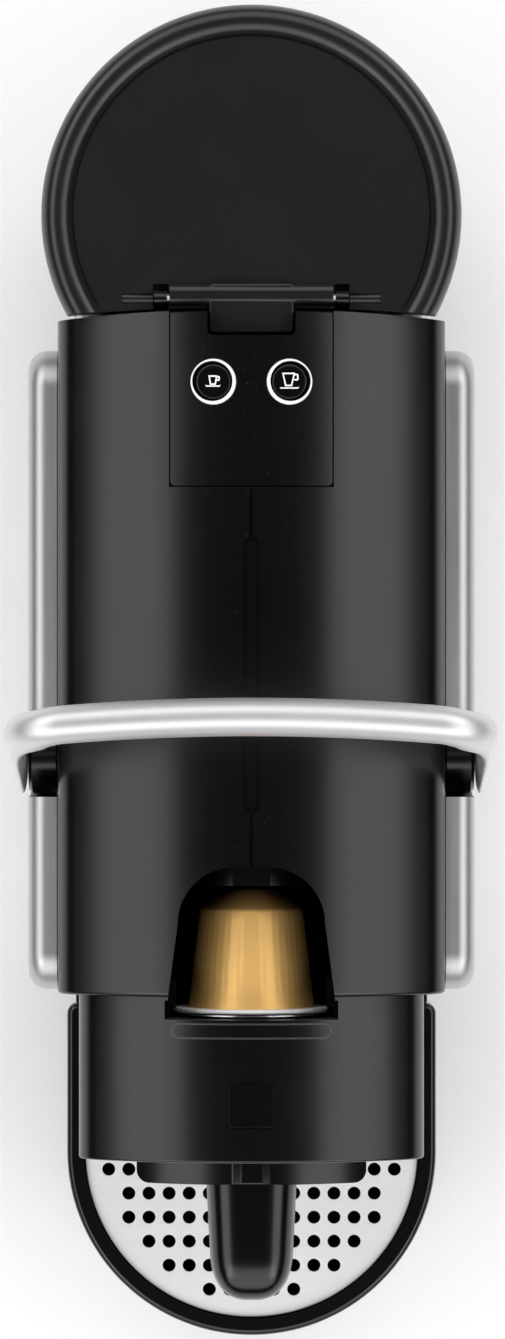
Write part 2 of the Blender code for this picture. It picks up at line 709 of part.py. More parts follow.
# ---- controls ---------------------------------------------------------------------------------------
def controls():
    rear = BODY_REAR + BODY_REAR_BULGE
    crown = arch(BODY_HALF_WIDTH, BODY_TOP, BOARD_Z - 20 * mm, CROWN_RADIUS, SHOULDER_RADIUS)
    panel = extruded(crown, CONTROL_FRONT + GAP, rear + 1 * mm, "Y")
    half = CONTROL_HALF_WIDTH - GAP
    plan = rear_plan(BODY_HALF_WIDTH + 1 * mm, -GAP, CONTROL_FRONT)
    keep_inside(panel, extruded(plan, CONTROL_BOTTOM - 1 * mm, BODY_TOP + 1 * mm))
    keep_inside(panel, box((-half, 0, CONTROL_BOTTOM), (half, 120 * mm, BODY_TOP + 1 * mm)))
    for side in (-1, 1):
        cut(panel, rod((side * BUTTON_X, BUTTON_Y), RING_RADIUS + 0.2 * mm, 200 * mm, 240 * mm))
    cut(panel, tab_recess())
    finish(panel, "control_panel", "gloss_plastic")

    board = box((-17 * mm, 56 * mm, BOARD_Z), (17 * mm, 85 * mm, BOARD_Z + 1.6 * mm))
    for side, name in ((-1, "espresso"), (1, "lungo")):
        place = (side * BUTTON_X, BUTTON_Y)
        inner = BUTTON_RADIUS + GAP
        top = BODY_TOP - crown_drop(BUTTON_X) + 0.1 * mm
        low = CONTROL_BOTTOM + 0.2 * mm
        ring = turned([(inner, top), (RING_RADIUS, top), (RING_RADIUS, low), (inner, low), (inner, top)],
                      centre=place, sides=24)
        finish(ring, f"{name}_light_ring", "light_ring")
        button = bevel(rod(place, BUTTON_RADIUS, low, top + 0.3 * mm), 0.4 * mm)
        finish(button, f"{name}_button", "gloss_plastic")
        place_origin(button, (*place, low))
        switch = 3 * mm
        low_corner = (place[0] - switch, place[1] - switch, BOARD_Z + 1 * mm)
        join(board, box(low_corner, (place[0] + switch, place[1] + switch, low - BUTTON_TRAVEL - 0.4 * mm)))
    finish(board, "control_board", "board")


def place_origin(obj, place):
    """Moves a mesh piece's origin without moving the piece."""
    offset = Vector(place) - obj.location
    obj.data.transform(Matrix.Translation(-offset))
    obj.location = place


# ---- inside the housing -------------------------------------------------------------------------
def frames():
    half = BODY_HALF_WIDTH - WALL - 0.8 * mm
    shelf_top = FRAME_BOTTOM - GAP
    inner = box((-half, 33 * mm, BASE_TOP + GAP), (half, FRAME_REAR, shelf_top))
    join(inner, box((-half, -34 * mm, shelf_top - 2.7 * mm), (half, 35 * mm, shelf_top)))
    cut(
        inner,
        rod((-23.5 * mm, 62 * mm), 8 * mm, 30 * mm, 40 * mm, "Y"),
        rod((0, 140 * mm), 12 * mm, 30 * mm, 40 * mm, "Y"),
        box((-4.5 * mm, 18 * mm, shelf_top - 5 * mm), (4.5 * mm, 32 * mm, shelf_top + 1 * mm)),
    )
    finish(inner, "inner_frame", "black_plastic")

    section = [
        (-FRAME_OUTER, FRAME_BOTTOM), (FRAME_OUTER, FRAME_BOTTOM), (FRAME_OUTER, FRAME_TOP),
        (FRAME_INNER, FRAME_TOP), (FRAME_INNER, FRAME_BOTTOM + FRAME_FLOOR),
        (-FRAME_INNER, FRAME_BOTTOM + FRAME_FLOOR), (-FRAME_INNER, FRAME_TOP), (-FRAME_OUTER, FRAME_TOP),
    ]
    frame = extruded(section, PLATE_FRONT, FRAME_REAR, "Y")
    cut(
        frame,
        box((-35 * mm, PLATE_FRONT - 1 * mm, FRAME_TOP - 6 * mm), (35 * mm, BODY_FRONT + WALL, 230 * mm)),
        box((-20.5 * mm, -71.6 * mm, 170 * mm), (20.5 * mm, CAGE_FRONT, 180 * mm)),
        box((-4.5 * mm, 18 * mm, 170 * mm), (4.5 * mm, 33 * mm, 180 * mm)),
        rod((PIVOT_Y, PIVOT_Z), STUB_RADIUS + SLIDE_GAP, -40 * mm, 40 * mm, "X"),
    )
    finish(frame, "brew_frame", "black_plastic")

    low = FRAME_BOTTOM + FRAME_FLOOR + GAP
    half = FRAME_INNER - GAP
    plate = box((-half, PLATE_FRONT, low), (half, PLATE_FACE, BREW_Z + 13 * mm))
    nozzle = rod((0, BREW_Z - 6 * mm), 3 * mm, PLATE_FRONT - 5 * mm, PLATE_FRONT + 2 * mm, "Y", 16)
    join(plate, nozzle)
    cut(plate, rod((0, BREW_Z - 6 * mm), 1.8 * mm, PLATE_FRONT - 6 * mm, PLATE_FACE + 1 * mm, "Y", 12))
    finish(plate, "extraction_plate", "steel")

    for side, word in ((-1, "left"), (1, "right")):
        front = PLATE_FACE + GAP
        outer = side * half
        groove = POD_RIM_RADIUS + 0.6 * mm
        guide = box(*corners((side * groove, front, low), (outer, GUIDE_REAR, BREW_Z + 11 * mm)))
        lip = CAGE_LIP_RADIUS + 0.6 * mm
        join(
            guide,
            box(*corners((side * lip, RIM_Y + 0.8 * mm, low), (outer, GUIDE_REAR, BREW_Z + 11 * mm))),
            box(*corners((side * lip, front, low), (outer, GUIDE_REAR, BREW_Z - 8.5 * mm))),
        )
        finish(guide, f"pod_guide_{word}", "gloss_plastic")

    chute = extruded(
        [(-73.4 * mm, 173.7 * mm), (-63.2 * mm, 157.5 * mm), (-63.2 * mm, 131 * mm), (-18 * mm, 131 * mm),
         (-18 * mm, 150 * mm), (-38.8 * mm, 173.7 * mm)], -24 * mm, 24 * mm, "X")
    cut(chute, extruded(
        [(-71.6 * mm, 176 * mm), (-71.6 * mm, 173.6 * mm), (-61.6 * mm, 157.6 * mm), (-61.6 * mm, 130 * mm),
         (-19.6 * mm, 130 * mm), (-19.6 * mm, 149.4 * mm), (-40.6 * mm, 173.6 * mm), (-40.6 * mm, 176 * mm)],
        -22.4 * mm, 22.4 * mm, "X"))
    finish(chute, "pod_chute", "black_plastic")


def corners(a, b):
    """Low and high corners of the box between two points."""
    return [min(p, q) for p, q in zip(a, b, strict=True)], [max(p, q) for p, q in zip(a, b, strict=True)]


def water_system():
    y = PUMP_Y
    pump = turned([(0, 103 * mm), (4.2 * mm, 103 * mm), (4.2 * mm, 98 * mm), (9 * mm, 97 * mm),
                   (9 * mm, 78 * mm), (19 * mm, 76 * mm), (19 * mm, 34 * mm), (11 * mm, 32 * mm),
                   (11 * mm, 19 * mm), (0, 19 * mm)], centre=(0, y))
    cut(
        pump,
        rod((0, y), PISTON_RADIUS + GAP, 36 * mm, 92 * mm, sides=24),
        rod((0, y), 1.5 * mm, 85 * mm, 110 * mm, sides=12),
        rod((0, y), 1.5 * mm, 26 * mm, 40 * mm, sides=12),
        rod((y, 27 * mm), 1.5 * mm, -30 * mm, 0, "X", 12),
    )
    join(pump, tube_port((-9 * mm, y, 27 * mm), "X", -9 * mm))
    finish(pump, "water_pump", "steel")
    piston = bevel(rod((0, y), PISTON_RADIUS, 45 * mm, 80 * mm), 0.6 * mm)
    finish(piston, "pump_piston", "steel")
    place_origin(piston, (0, y, 45 * mm))

    collar = bevel(box((-23 * mm, y - 20 * mm, BASE_TOP + GAP), (23 * mm, y + 11 * mm, 31.6 * mm)), 1.2 * mm)
    cut(
        collar,
        rod((0, y), 11.4 * mm, 18.6 * mm, 40 * mm, sides=24),
        box((-24 * mm, y - 4 * mm, 18.6 * mm), (0, y + 4 * mm, 40 * mm)),
    )
    finish(collar, "pump_mount", "rubber")

    meter = turned([(0, 56 * mm), (2.6 * mm, 56 * mm), (2.6 * mm, 52 * mm), (9 * mm, 52 * mm),
                    (9 * mm, 40 * mm), (2.6 * mm, 40 * mm), (2.6 * mm, 36 * mm), (0, 36 * mm)],
                   centre=(METER_X, METER_Y), sides=24)
    finish(meter, "flow_meter", "gloss_plastic")

    heater = bevel(box((-24 * mm, -6 * mm, 104 * mm), (24 * mm, 26 * mm, 160 * mm)), 3 * mm)
    join(
        heater,
        rod((0, 21 * mm), 3.2 * mm, 158 * mm, 165 * mm, sides=16),
        rod((-14 * mm, 12 * mm), 3.2 * mm, 99 * mm, 106 * mm, sides=16),
    )
    for x in (-18 * mm, 18 * mm):
        join(heater, box((x - 4 * mm, 20 * mm, 118 * mm), (x + 4 * mm, 33 * mm - GAP, 146 * mm)))
    finish(heater, "thermoblock", "aluminium")

    tubes = {
        "suction_hose": [(0, 79.4, 11.4), (0, 77.6, 11.5), (0.2, 76, 14), (2, 76, 18), (9, 77, 21), (20, 78, 24),
                         (29, 73, 28), (31, 59, 31), (31, 55.2, 32.4), (31, 55, 35.4)],
        "meter_hose": [(31, 55, 56.4), (31, 55.5, 80), (26, 57, 104), (14, 60, 115), (4, 61.8, 113.5),
                       (0.4, 62, 109), (0, 62, 103.5)],
        "pressure_hose": [(-18.4, 62, 27), (-26, 60, 28), (-31, 54, 36), (-28, 43, 52), (-24, 34.5, 60),
                          (-22, 28, 72), (-15, 15, 88), (-14, 12, 98.6)],
        "brew_hose": [(0, 21, 165.4), (0, 21.5, 170), (0, 25, 175), (0, 28, 179), (0, 28, 183)],
        "outlet_hose": [(0, -84.5, 192), (0, -87.6, 190.6), (0, -88, 186), (0, -88, 170), (0, -88, 153.6)],
    }
    for name, points in tubes.items():
        tube = hose([(x * mm, py * mm, z * mm) for x, py, z in points], HOSE_RADIUS)
        finish(tube, name, "silicone")

    injector = rod((0, BREW_Z), INJECTOR_RADIUS, -6.6 * mm, 30 * mm, "Y", 16)
    join(injector, rod((0, 28 * mm), 2.8 * mm, 183.4 * mm, BREW_Z + 1 * mm, sides=16))
    join(injector, box((-9 * mm, 30 * mm - 1 * mm, BREW_Z - 6 * mm), (9 * mm, 31.5 * mm, BREW_Z + 6 * mm)))
    finish(injector, "injector_tube", "brass")

    board = box((-4 * mm, 26 * mm, 24 * mm), (38 * mm, 27.6 * mm, 94 * mm))
    for x, z, size in ((6, 40, 16), (26, 48, 12), (10, 74, 14), (28, 78, 9)):
        join(board, box(((x - size / 2) * mm, 12 * mm, (z - size / 2) * mm),
                        ((x + size / 2) * mm, 26.5 * mm, (z + size / 2) * mm)))
    for x in (2, 33):
        join(board, rod((x * mm, 60 * mm), 2 * mm, 27 * mm, 33 * mm - GAP, "Y", 12))
    finish(board, "power_board", "board")

    dock = rod((0, TANK_Y), DOCK_RADIUS, DOCK_BOTTOM, DOCK_TOP, sides=32)
    join(dock, rod((0, 11.4 * mm), 2.8 * mm, 80 * mm, TANK_Y, "Y", 16))
    cut(
        dock,
        rod((0, TANK_Y), 5.2 * mm, 11 * mm, DOCK_TOP + 1 * mm, sides=24),
        rod((0, 11.6 * mm), 1.6 * mm, 79 * mm, TANK_Y, "Y", 12),
    )
    finish(dock, "tank_dock", "gloss_plastic")

    gland = rod((GLAND_Y, GLAND_Z), GLAND_RADIUS, -BODY_HALF_WIDTH - 1.6 * mm, -34.6 * mm, "X", 20)
    cut(gland, rod((GLAND_Y, GLAND_Z), 2.6 * mm, -50 * mm, -30 * mm, "X", 16))
    finish(gland, "cord_gland", "rubber")


def tube_port(place, axis, length):
    x, y, z = place
    low, high = sorted((x, x + length))
    port = rod((y, z), 3.0 * mm, low, high + 2 * mm, axis, 16)
    return cut(port, rod((y, z), 1.5 * mm, low - 1 * mm, high + 3 * mm, axis, 12))


# ---- pod, cage and lever --------------------------------------------------------------------------
def pod():
    rim = 0.6 * mm
    wall = 0.5 * mm
    outer = [(0, POD_TIP_Y), (POD_TIP_RADIUS, POD_TIP_Y), (POD_SHOULDER_RADIUS, POD_SHOULDER_Y),
             (POD_RADIUS, RIM_Y + 0.3 * mm), (POD_RIM_RADIUS, RIM_Y + 0.3 * mm), (POD_RIM_RADIUS, RIM_Y - rim)]
    inner = [(POD_RADIUS - wall, RIM_Y - rim), (POD_SHOULDER_RADIUS - wall, POD_SHOULDER_Y - 0.3 * mm),
             (POD_TIP_RADIUS, POD_TIP_Y - wall), (0, POD_TIP_Y - wall)]
    shell = turned(outer + inner, "Y", (0, BREW_Z), 32)
    finish(shell, "pod_shell", "gold_aluminium")
    foil = rod((0, BREW_Z), POD_RIM_RADIUS - 0.6 * mm, RIM_Y - 1.2 * mm, RIM_Y - 0.9 * mm, "Y", 32)
    finish(foil, "pod_foil", "foil")


def cage():
    depth = CAGE_REAR - 6 * mm
    mouth = POD_RADIUS + 0.6 * mm
    profile = [(0, BOSS_REAR), (BOSS_RADIUS, BOSS_REAR), (BOSS_RADIUS, CAGE_REAR), (CAGE_RADIUS, CAGE_REAR),
               (CAGE_RADIUS, -32 * mm), (CAGE_LIP_RADIUS, -31.4 * mm), (CAGE_LIP_RADIUS, CAGE_FRONT),
               (mouth, CAGE_FRONT), (POD_SHOULDER_RADIUS + 0.6 * mm, -17.6 * mm),
               (POD_SHOULDER_RADIUS, depth), (0, depth)]
    body = turned(profile, "Y", (0, BREW_Z), 24)
    pin_y = PIVOT_Y + CRANK_RADIUS * math.sin(math.radians(LEVER_TRAVEL / 2))
    for side in (-1, 1):
        low, high = sorted((side * 15.0 * mm, side * (EAR_OUTER - 0.4 * mm)))
        join(body, box((low, -24 * mm, BREW_Z - 7 * mm), (high, CAGE_REAR - 1 * mm, BREW_Z + 7 * mm)))
        low, high = sorted((side * (CAGE_RADIUS + 0.4 * mm), side * EAR_OUTER))
        plate = rounded(
            rectangle(-15 * mm, BREW_Z - 8 * mm, pin_y + 5.7 * mm, BREW_Z + 19.4 * mm), 2 * mm, 4
        )
        ear = extruded(plate, low, high, "X")
        slot = CRANK_PIN_RADIUS + YOKE_CLEARANCE
        outline = rounded(
            rectangle(pin_y - slot, PIN_LOW - slot, pin_y + slot, PIN_HIGH + slot), slot * 0.98, 4
        )
        cut(ear, extruded(outline, low - 1 * mm, high + 1 * mm, "X"))
        join(body, realised(ear))
    foot_low = FRAME_BOTTOM + FRAME_FLOOR + SLIDE_GAP
    join(body, box((-FRAME_INNER + SLIDE_GAP, -30 * mm, foot_low),
                   (FRAME_INNER - SLIDE_GAP, -8 * mm, foot_low + 2 * mm)))
    join(body, box((-10 * mm, -30 * mm, foot_low), (10 * mm, -8 * mm, BREW_Z - 14 * mm)))
    cut(body, rod((0, BREW_Z), INJECTOR_RADIUS + GAP, depth - 1 * mm, BOSS_REAR + 1 * mm, "Y", 16))
    finish(body, "pod_cage", "gloss_plastic")


def cranks():
    lean = math.radians(LEVER_TRAVEL / 2)
    pin = (PIVOT_Y + CRANK_RADIUS * math.sin(lean), PIVOT_Z + CRANK_RADIUS * math.cos(lean))
    inner, outer = EAR_OUTER + SLIDE_GAP, FRAME_INNER - SLIDE_GAP
    root, tip = 6.3 * mm, CRANK_PIN_RADIUS + 1.8 * mm
    along = math.degrees(math.atan2(pin[1] - PIVOT_Z, pin[0] - PIVOT_Y))
    link = arc((PIVOT_Y, PIVOT_Z), root, along + 85, along + 275, 12) + arc(pin, tip, along - 85, along + 85, 10)
    for side, word in ((-1, "left"), (1, "right")):
        low, high = sorted((side * inner, side * outer))
        crank = extruded(link, low, high, "X")
        stub_low, stub_high = sorted((side * (inner + 1 * mm), side * (HUB_OUTER - 0.2 * mm)))
        join(crank, rod((PIVOT_Y, PIVOT_Z), STUB_RADIUS, stub_low, stub_high, "X", 24))
        pin_low, pin_high = sorted((side * 18.4 * mm, side * (inner + 1 * mm)))
        join(crank, rod(pin, CRANK_PIN_RADIUS, pin_low, pin_high, "X", 16))
        finish(crank, f"crank_{word}", "steel")
        low, high = sorted((side * (BODY_HALF_WIDTH + 0.4 * mm), side * HUB_OUTER))
        hub = bevel(rod((PIVOT_Y, PIVOT_Z), HUB_RADIUS, low, high, "X", 24), 0.6 * mm, 1)
        cut(hub, rod((PIVOT_Y, PIVOT_Z), STUB_RADIUS + 0.2 * mm, low - 1 * mm, high + 1 * mm, "X", 24))
        finish(hub, f"lever_hub_{word}", "gloss_plastic")


def lever():
    top = PIVOT_Z + LEVER_LENGTH
    outer = LEVER_HALF_WIDTH
    inner = outer - ARM_THICKNESS
    low = PIVOT_Z - 12 * mm
    corner, fillet = 13 * mm, 9 * mm
    steps = [1 - i / 8 for i in range(17)]
    bar_low = top - BAR_DEPTH
    outside = [(outer, low), *arc((outer - corner, top - corner), corner, 0, 90)]
    outside += [((outer - corner) * t, top) for t in steps[1:-1]]
    outside += [*arc((corner - outer, top - corner), corner, 90, 180), (-outer, low)]
    inside = [(-inner, low), *arc((fillet - inner, bar_low - fillet), fillet, 180, 90)]
    inside += [((fillet - inner) * t, bar_low) for t in steps[1:-1]]
    inside += [*arc((inner - fillet, bar_low - fillet), fillet, 90, 0), (inner, low)]
    frame = extruded(outside + inside, PIVOT_Y - 12 * mm, PIVOT_Y + 12 * mm, "Y")
    half = BAR_THICKNESS / 2
    side = arc((PIVOT_Y, PIVOT_Z), HUB_RADIUS, 180, 360, 16)
    side += [(PIVOT_Y + half + 1 * mm, PIVOT_Z + 34 * mm), (PIVOT_Y + half, top - 26 * mm),
             (PIVOT_Y + half, top + 1 * mm), (PIVOT_Y - half, top + 1 * mm), (PIVOT_Y - half, top - 26 * mm),
             (PIVOT_Y - half - 1 * mm, PIVOT_Z + 34 * mm)]
    keep_inside(frame, extruded(side, -outer - 1 * mm, outer + 1 * mm, "X"))
    handle = realised(frame)
    for vertex in handle.data.vertices:
        rise = (vertex.co.z - PIVOT_Z) / LEVER_LENGTH
        across = 1 - (vertex.co.x / outer) ** 2
        vertex.co.y += BAR_BOW * across * max(0.0, rise) ** 2
    turn = Matrix.Rotation(math.radians(-LEVER_LEAN), 4, "X")
    pivot = Matrix.Translation((0, PIVOT_Y, PIVOT_Z))
    handle.data.transform(pivot @ turn @ pivot.inverted())
    bevel(handle, 0.8 * mm, 2)
    finish(handle, "lever_handle", "chrome")


# ---- water tank and lid ---------------------------------------------------------------------------
def tank():
    shell = extruded(circle((0, TANK_Y), TANK_RADIUS, 44), TANK_BOTTOM, TANK_TOP)
    front = TANK_FRONT
    keep_inside(shell, box((-60 * mm, front, 0), (60 * mm, 200 * mm, 240 * mm)))
    for side in (-1, 1):
        low, high = sorted((side * EAR_LOW, side * EAR_HIGH))
        ear = rounded(
            rectangle(front, TANK_TOP - 8 * mm, front + 3.6 * mm, LID_AXIS_Z + 1.7 * mm), 1.5 * mm
        )
        join(shell, extruded(ear, low, high, "X"))
    hollow = extruded(circle((0, TANK_Y), TANK_RADIUS - TANK_WALL, 44), TANK_BOTTOM + TANK_WALL, 240 * mm)
    hollow = realised(keep_inside(hollow, box((-60 * mm, front + TANK_WALL + 1.5 * mm, 0), (60 * mm, 0.2, 0.24))))
    cut(shell, hollow, rod((0, TANK_Y), VALVE_STEM + GAP, 0, 30 * mm, sides=20),
        rod((LID_AXIS_Y + 0.2 * mm, LID_AXIS_Z), PIN_RADIUS + GAP, -30 * mm, 30 * mm, "X", 12))
    finish(shell, "water_tank", "smoked_clear")

    seat = TANK_BOTTOM + TANK_WALL + GAP
    stem = VALVE_STEM
    valve = turned([(0, seat + 9 * mm), (1.6 * mm, seat + 9 * mm), (1.6 * mm, seat + 2 * mm),
                    (VALVE_RADIUS, seat + 2 * mm), (VALVE_RADIUS, seat), (stem, seat),
                    (stem, TANK_BOTTOM - 1.0 * mm), (0, TANK_BOTTOM - 1.0 * mm)], centre=(0, TANK_Y), sides=24)
    finish(valve, "tank_valve", "silicone")
    place_origin(valve, (0, TANK_Y, seat))


def lid():
    outer, recess = LID_RADIUS, 42.0 * mm
    top = LID_TOP
    low = TANK_TOP + 1 * mm
    profile = [(0, top - 1.6 * mm), (recess, top - 1.6 * mm), (recess + 0.8 * mm, top - 0.4 * mm)]
    profile += [(recess + 2.4 * mm, top)]
    profile += [(r, z) for r, z in arc((outer - 2.6 * mm, top - 2.6 * mm), 2.6 * mm, 90, 0, 4)]
    profile += [(outer, low), (outer - 2.4 * mm, low), (outer - 2.4 * mm, top - 4.4 * mm)]
    profile += [(0, top - 4.4 * mm)]
    shell = turned(profile, centre=(0, TANK_Y), sides=56)
    front = LID_AXIS_Y - 0.6 * mm
    keep_inside(shell, box((-60 * mm, front, 0), (60 * mm, 200 * mm, 240 * mm)))
    join(
        shell,
        box((-19 * mm, front, LID_AXIS_Z - 2.6 * mm), (19 * mm, front + 4 * mm, top - 0.6 * mm)),
        box((-TAB_HALF_WIDTH, TAB_FRONT, LID_AXIS_Z - 0.4 * mm),
            (TAB_HALF_WIDTH, front + 4 * mm, LID_AXIS_Z + 1.4 * mm)),
        wall_across(front, low, top),
    )
    for side in (-1, 1):
        edges = sorted((side * (EAR_LOW - GAP), side * (EAR_HIGH + GAP)))
        cut(shell, box((edges[0], 90 * mm, 200 * mm), (edges[1], TANK_FRONT + 4.2 * mm, 240 * mm)))
    cut(shell, rod((LID_AXIS_Y + 0.2 * mm, LID_AXIS_Z), PIN_RADIUS + GAP, -30 * mm, 30 * mm, "X", 12))
    finish(shell, "tank_lid", "black_plastic")
    pin = rod((LID_AXIS_Y + 0.2 * mm, LID_AXIS_Z), PIN_RADIUS, -EAR_HIGH, EAR_HIGH, "X", 12)
    finish(pin, "lid_hinge_pin", "steel")


def wall_across(front, low, top):
    """The lid's front skirt, straight across between the ends of the round one."""
    half = math.sqrt((LID_RADIUS - 2 * mm) ** 2 - (TANK_Y - front) ** 2)
    return box((-half, front, low), (half, front + 1.8 * mm, top - 1.8 * mm))


# ---- drip tray, container and cup support -------------------------------------------------------------
def tray_plan(radius, back):
    """Round at the front, straight sides back to a square end."""
    front = arc((0, TRAY_Y), radius, 180, 360, 26)
    return [*front, (radius, back), (-radius, back)]


def tray():
    back = CONTAINER_FRONT - 0.4 * mm
    outer = SUPPORT_RADIUS - 2.0 * mm
    top = SUPPORT_BOTTOM - 0.5 * mm
    shell = extruded(tray_plan(outer, back), TRAY_BOTTOM, top)
    bevel(shell, 1.0 * mm, 1, 60)
    shelf_top = CONTAINER_BOTTOM - GAP
    join(shell, box((-CONTAINER_HALF_WIDTH, back - 1 * mm, shelf_top - 2.2 * mm),
                    (CONTAINER_HALF_WIDTH, CONTAINER_REAR, shelf_top)))
    hollow = extruded(tray_plan(outer - TRAY_WALL, back - TRAY_WALL), TRAY_BOTTOM + TRAY_WALL, 60 * mm)
    cut(shell, hollow, box((-60 * mm, FOLD_Y - 9 * mm, top - 1.7 * mm), (60 * mm, back + 1 * mm, 60 * mm)))
    for side in (-1, 1):
        low, high = sorted((side * LUG_LOW, side * LUG_HIGH))
        rear = back - 0.4 * mm
        lug = [(FOLD_Y - FOLD_KNUCKLE, 30 * mm), (rear, 30 * mm), (rear, FOLD_Z - 3 * mm)]
        lug += arc((FOLD_Y, FOLD_Z), FOLD_KNUCKLE, 0, 180, 8)
        join(shell, extruded(lug, low, high, "X"))
        cut(shell, rod((FOLD_Y, FOLD_Z), FOLD_PIN + GAP, low - 1 * mm, high + 1 * mm, "X", 12))
    finish(shell, "drip_tray", "black_plastic")

    plan = rounded(rectangle(-CONTAINER_HALF_WIDTH, CONTAINER_FRONT, CONTAINER_HALF_WIDTH, CONTAINER_REAR), 5 * mm)
    tub = extruded(plan, CONTAINER_BOTTOM, CONTAINER_TOP)
    wall = CONTAINER_WALL
    inner = rounded(
        rectangle(-CONTAINER_HALF_WIDTH + wall, CONTAINER_FRONT + wall, CONTAINER_HALF_WIDTH - wall,
                  CONTAINER_REAR - wall), 5 * mm - wall)
    cut(tub, extruded(inner, CONTAINER_BOTTOM + wall, CONTAINER_TOP + 5 * mm))
    finish(tub, "pod_container", "black_plastic")


def cup_support():
    ring = extruded(tray_plan(SUPPORT_RADIUS, SUPPORT_BACK), SUPPORT_BOTTOM, SUPPORT_TOP)
    bevel(ring, 1.4 * mm, 2, 60)
    opening = SUPPORT_RADIUS - SUPPORT_RIM
    back = SUPPORT_BACK - SUPPORT_RIM
    seat = GRID_TOP - GRID_THICKNESS - GAP
    ledge = 2.0 * mm
    cut(ring, extruded(tray_plan(opening, back), seat, 60 * mm),
        extruded(tray_plan(opening - ledge, back - ledge), 30 * mm, 60 * mm))
    for side in (-1, 1):
        low, high = sorted((side * (LUG_HIGH + 0.6 * mm), side * (LUG_HIGH + 8.6 * mm)))
        arm = [(SUPPORT_BACK - 1 * mm, FOLD_Z - FOLD_KNUCKLE), (FOLD_Y, FOLD_Z - FOLD_KNUCKLE)]
        arm += arc((FOLD_Y, FOLD_Z), FOLD_KNUCKLE, -90, 90, 8)[1:]
        arm += [(SUPPORT_BACK - 1 * mm, FOLD_Z + FOLD_KNUCKLE)]
        join(ring, extruded(arm, low, high, "X"))
        cut(ring, rod((FOLD_Y, FOLD_Z), FOLD_PIN + GAP, low - 1 * mm, high + 1 * mm, "X", 12))
        pin_low, pin_high = sorted((side * (LUG_LOW + 0.6 * mm), side * (LUG_HIGH + 8 * mm)))
        word = "left" if side < 0 else "right"
        finish(rod((FOLD_Y, FOLD_Z), FOLD_PIN, pin_low, pin_high, "X", 12), f"fold_pin_{word}", "steel")
    finish(ring, "cup_support", "gloss_plastic")

    holes = []
    columns = 1 + int((HOLE_FIELD_RADIUS - HOLE_FIRST_X) / HOLE_PITCH_X)
    for row in range(HOLE_ROWS):
        y = HOLE_FRONT_Y + row * HOLE_PITCH_Y
        for column in range(columns):
            x = HOLE_FIRST_X + column * HOLE_PITCH_X
            if math.hypot(x, min(y - TRAY_Y, 0)) < HOLE_FIELD_RADIUS:
                holes += [circle((side * x, y), HOLE_RADIUS, 6) for side in (-1, 1)]
    edge = GAP
    grid = extruded(
        tray_plan(opening - edge, back - edge), GRID_TOP - GRID_THICKNESS, GRID_TOP, "Z", holes
    )
    finish(grid, "drip_grid", "steel")


# ---- coffee outlet ---------------------------------------------------------------------------------
def outlet():
    top = HEAD_BOTTOM - GAP
    body = extruded(
        rounded(rectangle(-OUTLET_HALF_WIDTH, OUTLET_FRONT, OUTLET_HALF_WIDTH, SPOUT_REAR + 20 * mm), 3 * mm),
        OUTLET_BOTTOM, top)
    bevel(body, 1.2 * mm, 2, 60)
    nose_radius = SPOUT_HALF_WIDTH
    nose = [(-nose_radius, SPOUT_REAR), *arc((0, SPOUT_TIP + nose_radius), nose_radius, 180, 360, 20),
            (nose_radius, SPOUT_REAR)]
    join(body, extruded(nose, SPOUT_BOTTOM, top - 1.2 * mm), rod((0, DUCT_Y), DUCT_RADIUS, top - 3 * mm, 153 * mm))
    bore = 1.8 * mm
    cut(body, rod((0, DUCT_Y), bore, 141 * mm, 160 * mm, sides=12),
        rod((0, 141 * mm), bore, -135 * mm, DUCT_Y, "Y", 12))
    for side in (-1, 1):
        cut(body, rod((side * 3.5 * mm, -134 * mm), bore, 120 * mm, 141.5 * mm, sides=12))
    cut(body, rod((-134 * mm, 141 * mm), bore, -3.5 * mm, 3.5 * mm, "X", 12))
    finish(body, "coffee_outlet", "gloss_plastic")


# ---- the whole machine --------------------------------------------------------------------------------
def main():
    base()
    housing()
    head()
    side_panels()
    controls()
    frames()
    water_system()
    pod()
    cage()
    cranks()
    lever()
    tank()
    lid()
    tray()
    cup_support()
    outlet()

    def pieces(*names):
        return [bpy.data.objects[name] for name in names]

    on_joint("lever_axis", (0, PIVOT_Y, PIVOT_Z), pieces(
        "lever_handle", "lever_hub_left", "lever_hub_right", "crank_left", "crank_right"))
    on_joint("cage_slide", (0, CAGE_FRONT, BREW_Z), pieces("pod_cage"))
    on_joint("pod_place", (0, RIM_Y, BREW_Z), pieces("pod_shell", "pod_foil"))
    on_joint("tank_place", (0, TANK_Y, TANK_BOTTOM), pieces("water_tank", "tank_valve", "lid_hinge_pin"))
    on_joint("lid_axis", (0, LID_AXIS_Y + 0.2 * mm, LID_AXIS_Z), pieces("tank_lid"))
    on_joint("module_place", (0, CONTAINER_FRONT, 0), pieces(
        "drip_tray", "pod_container", "fold_pin_left", "fold_pin_right"))
    on_joint("fold_axis", (0, FOLD_Y, FOLD_Z), pieces("cup_support"))
    on_joint("grid_place", (0, TRAY_Y, GRID_TOP - GRID_THICKNESS), pieces("drip_grid"))


clear_scene()
PARTS = new_collection("pod_coffee_machine")
CUTTERS = new_collection("helpers")
main()
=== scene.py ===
"""Looks for a small pod coffee machine, laid out as a Blender add-on.

Run it as a script: main() calls the operators in order. Units are metres.
"""

import math

import bmesh
import bpy
from bpy.props import FloatProperty, FloatVectorProperty, IntProperty, PointerProperty
from bpy.types import Operator, Panel, PropertyGroup
from mathutils import Matrix, Vector


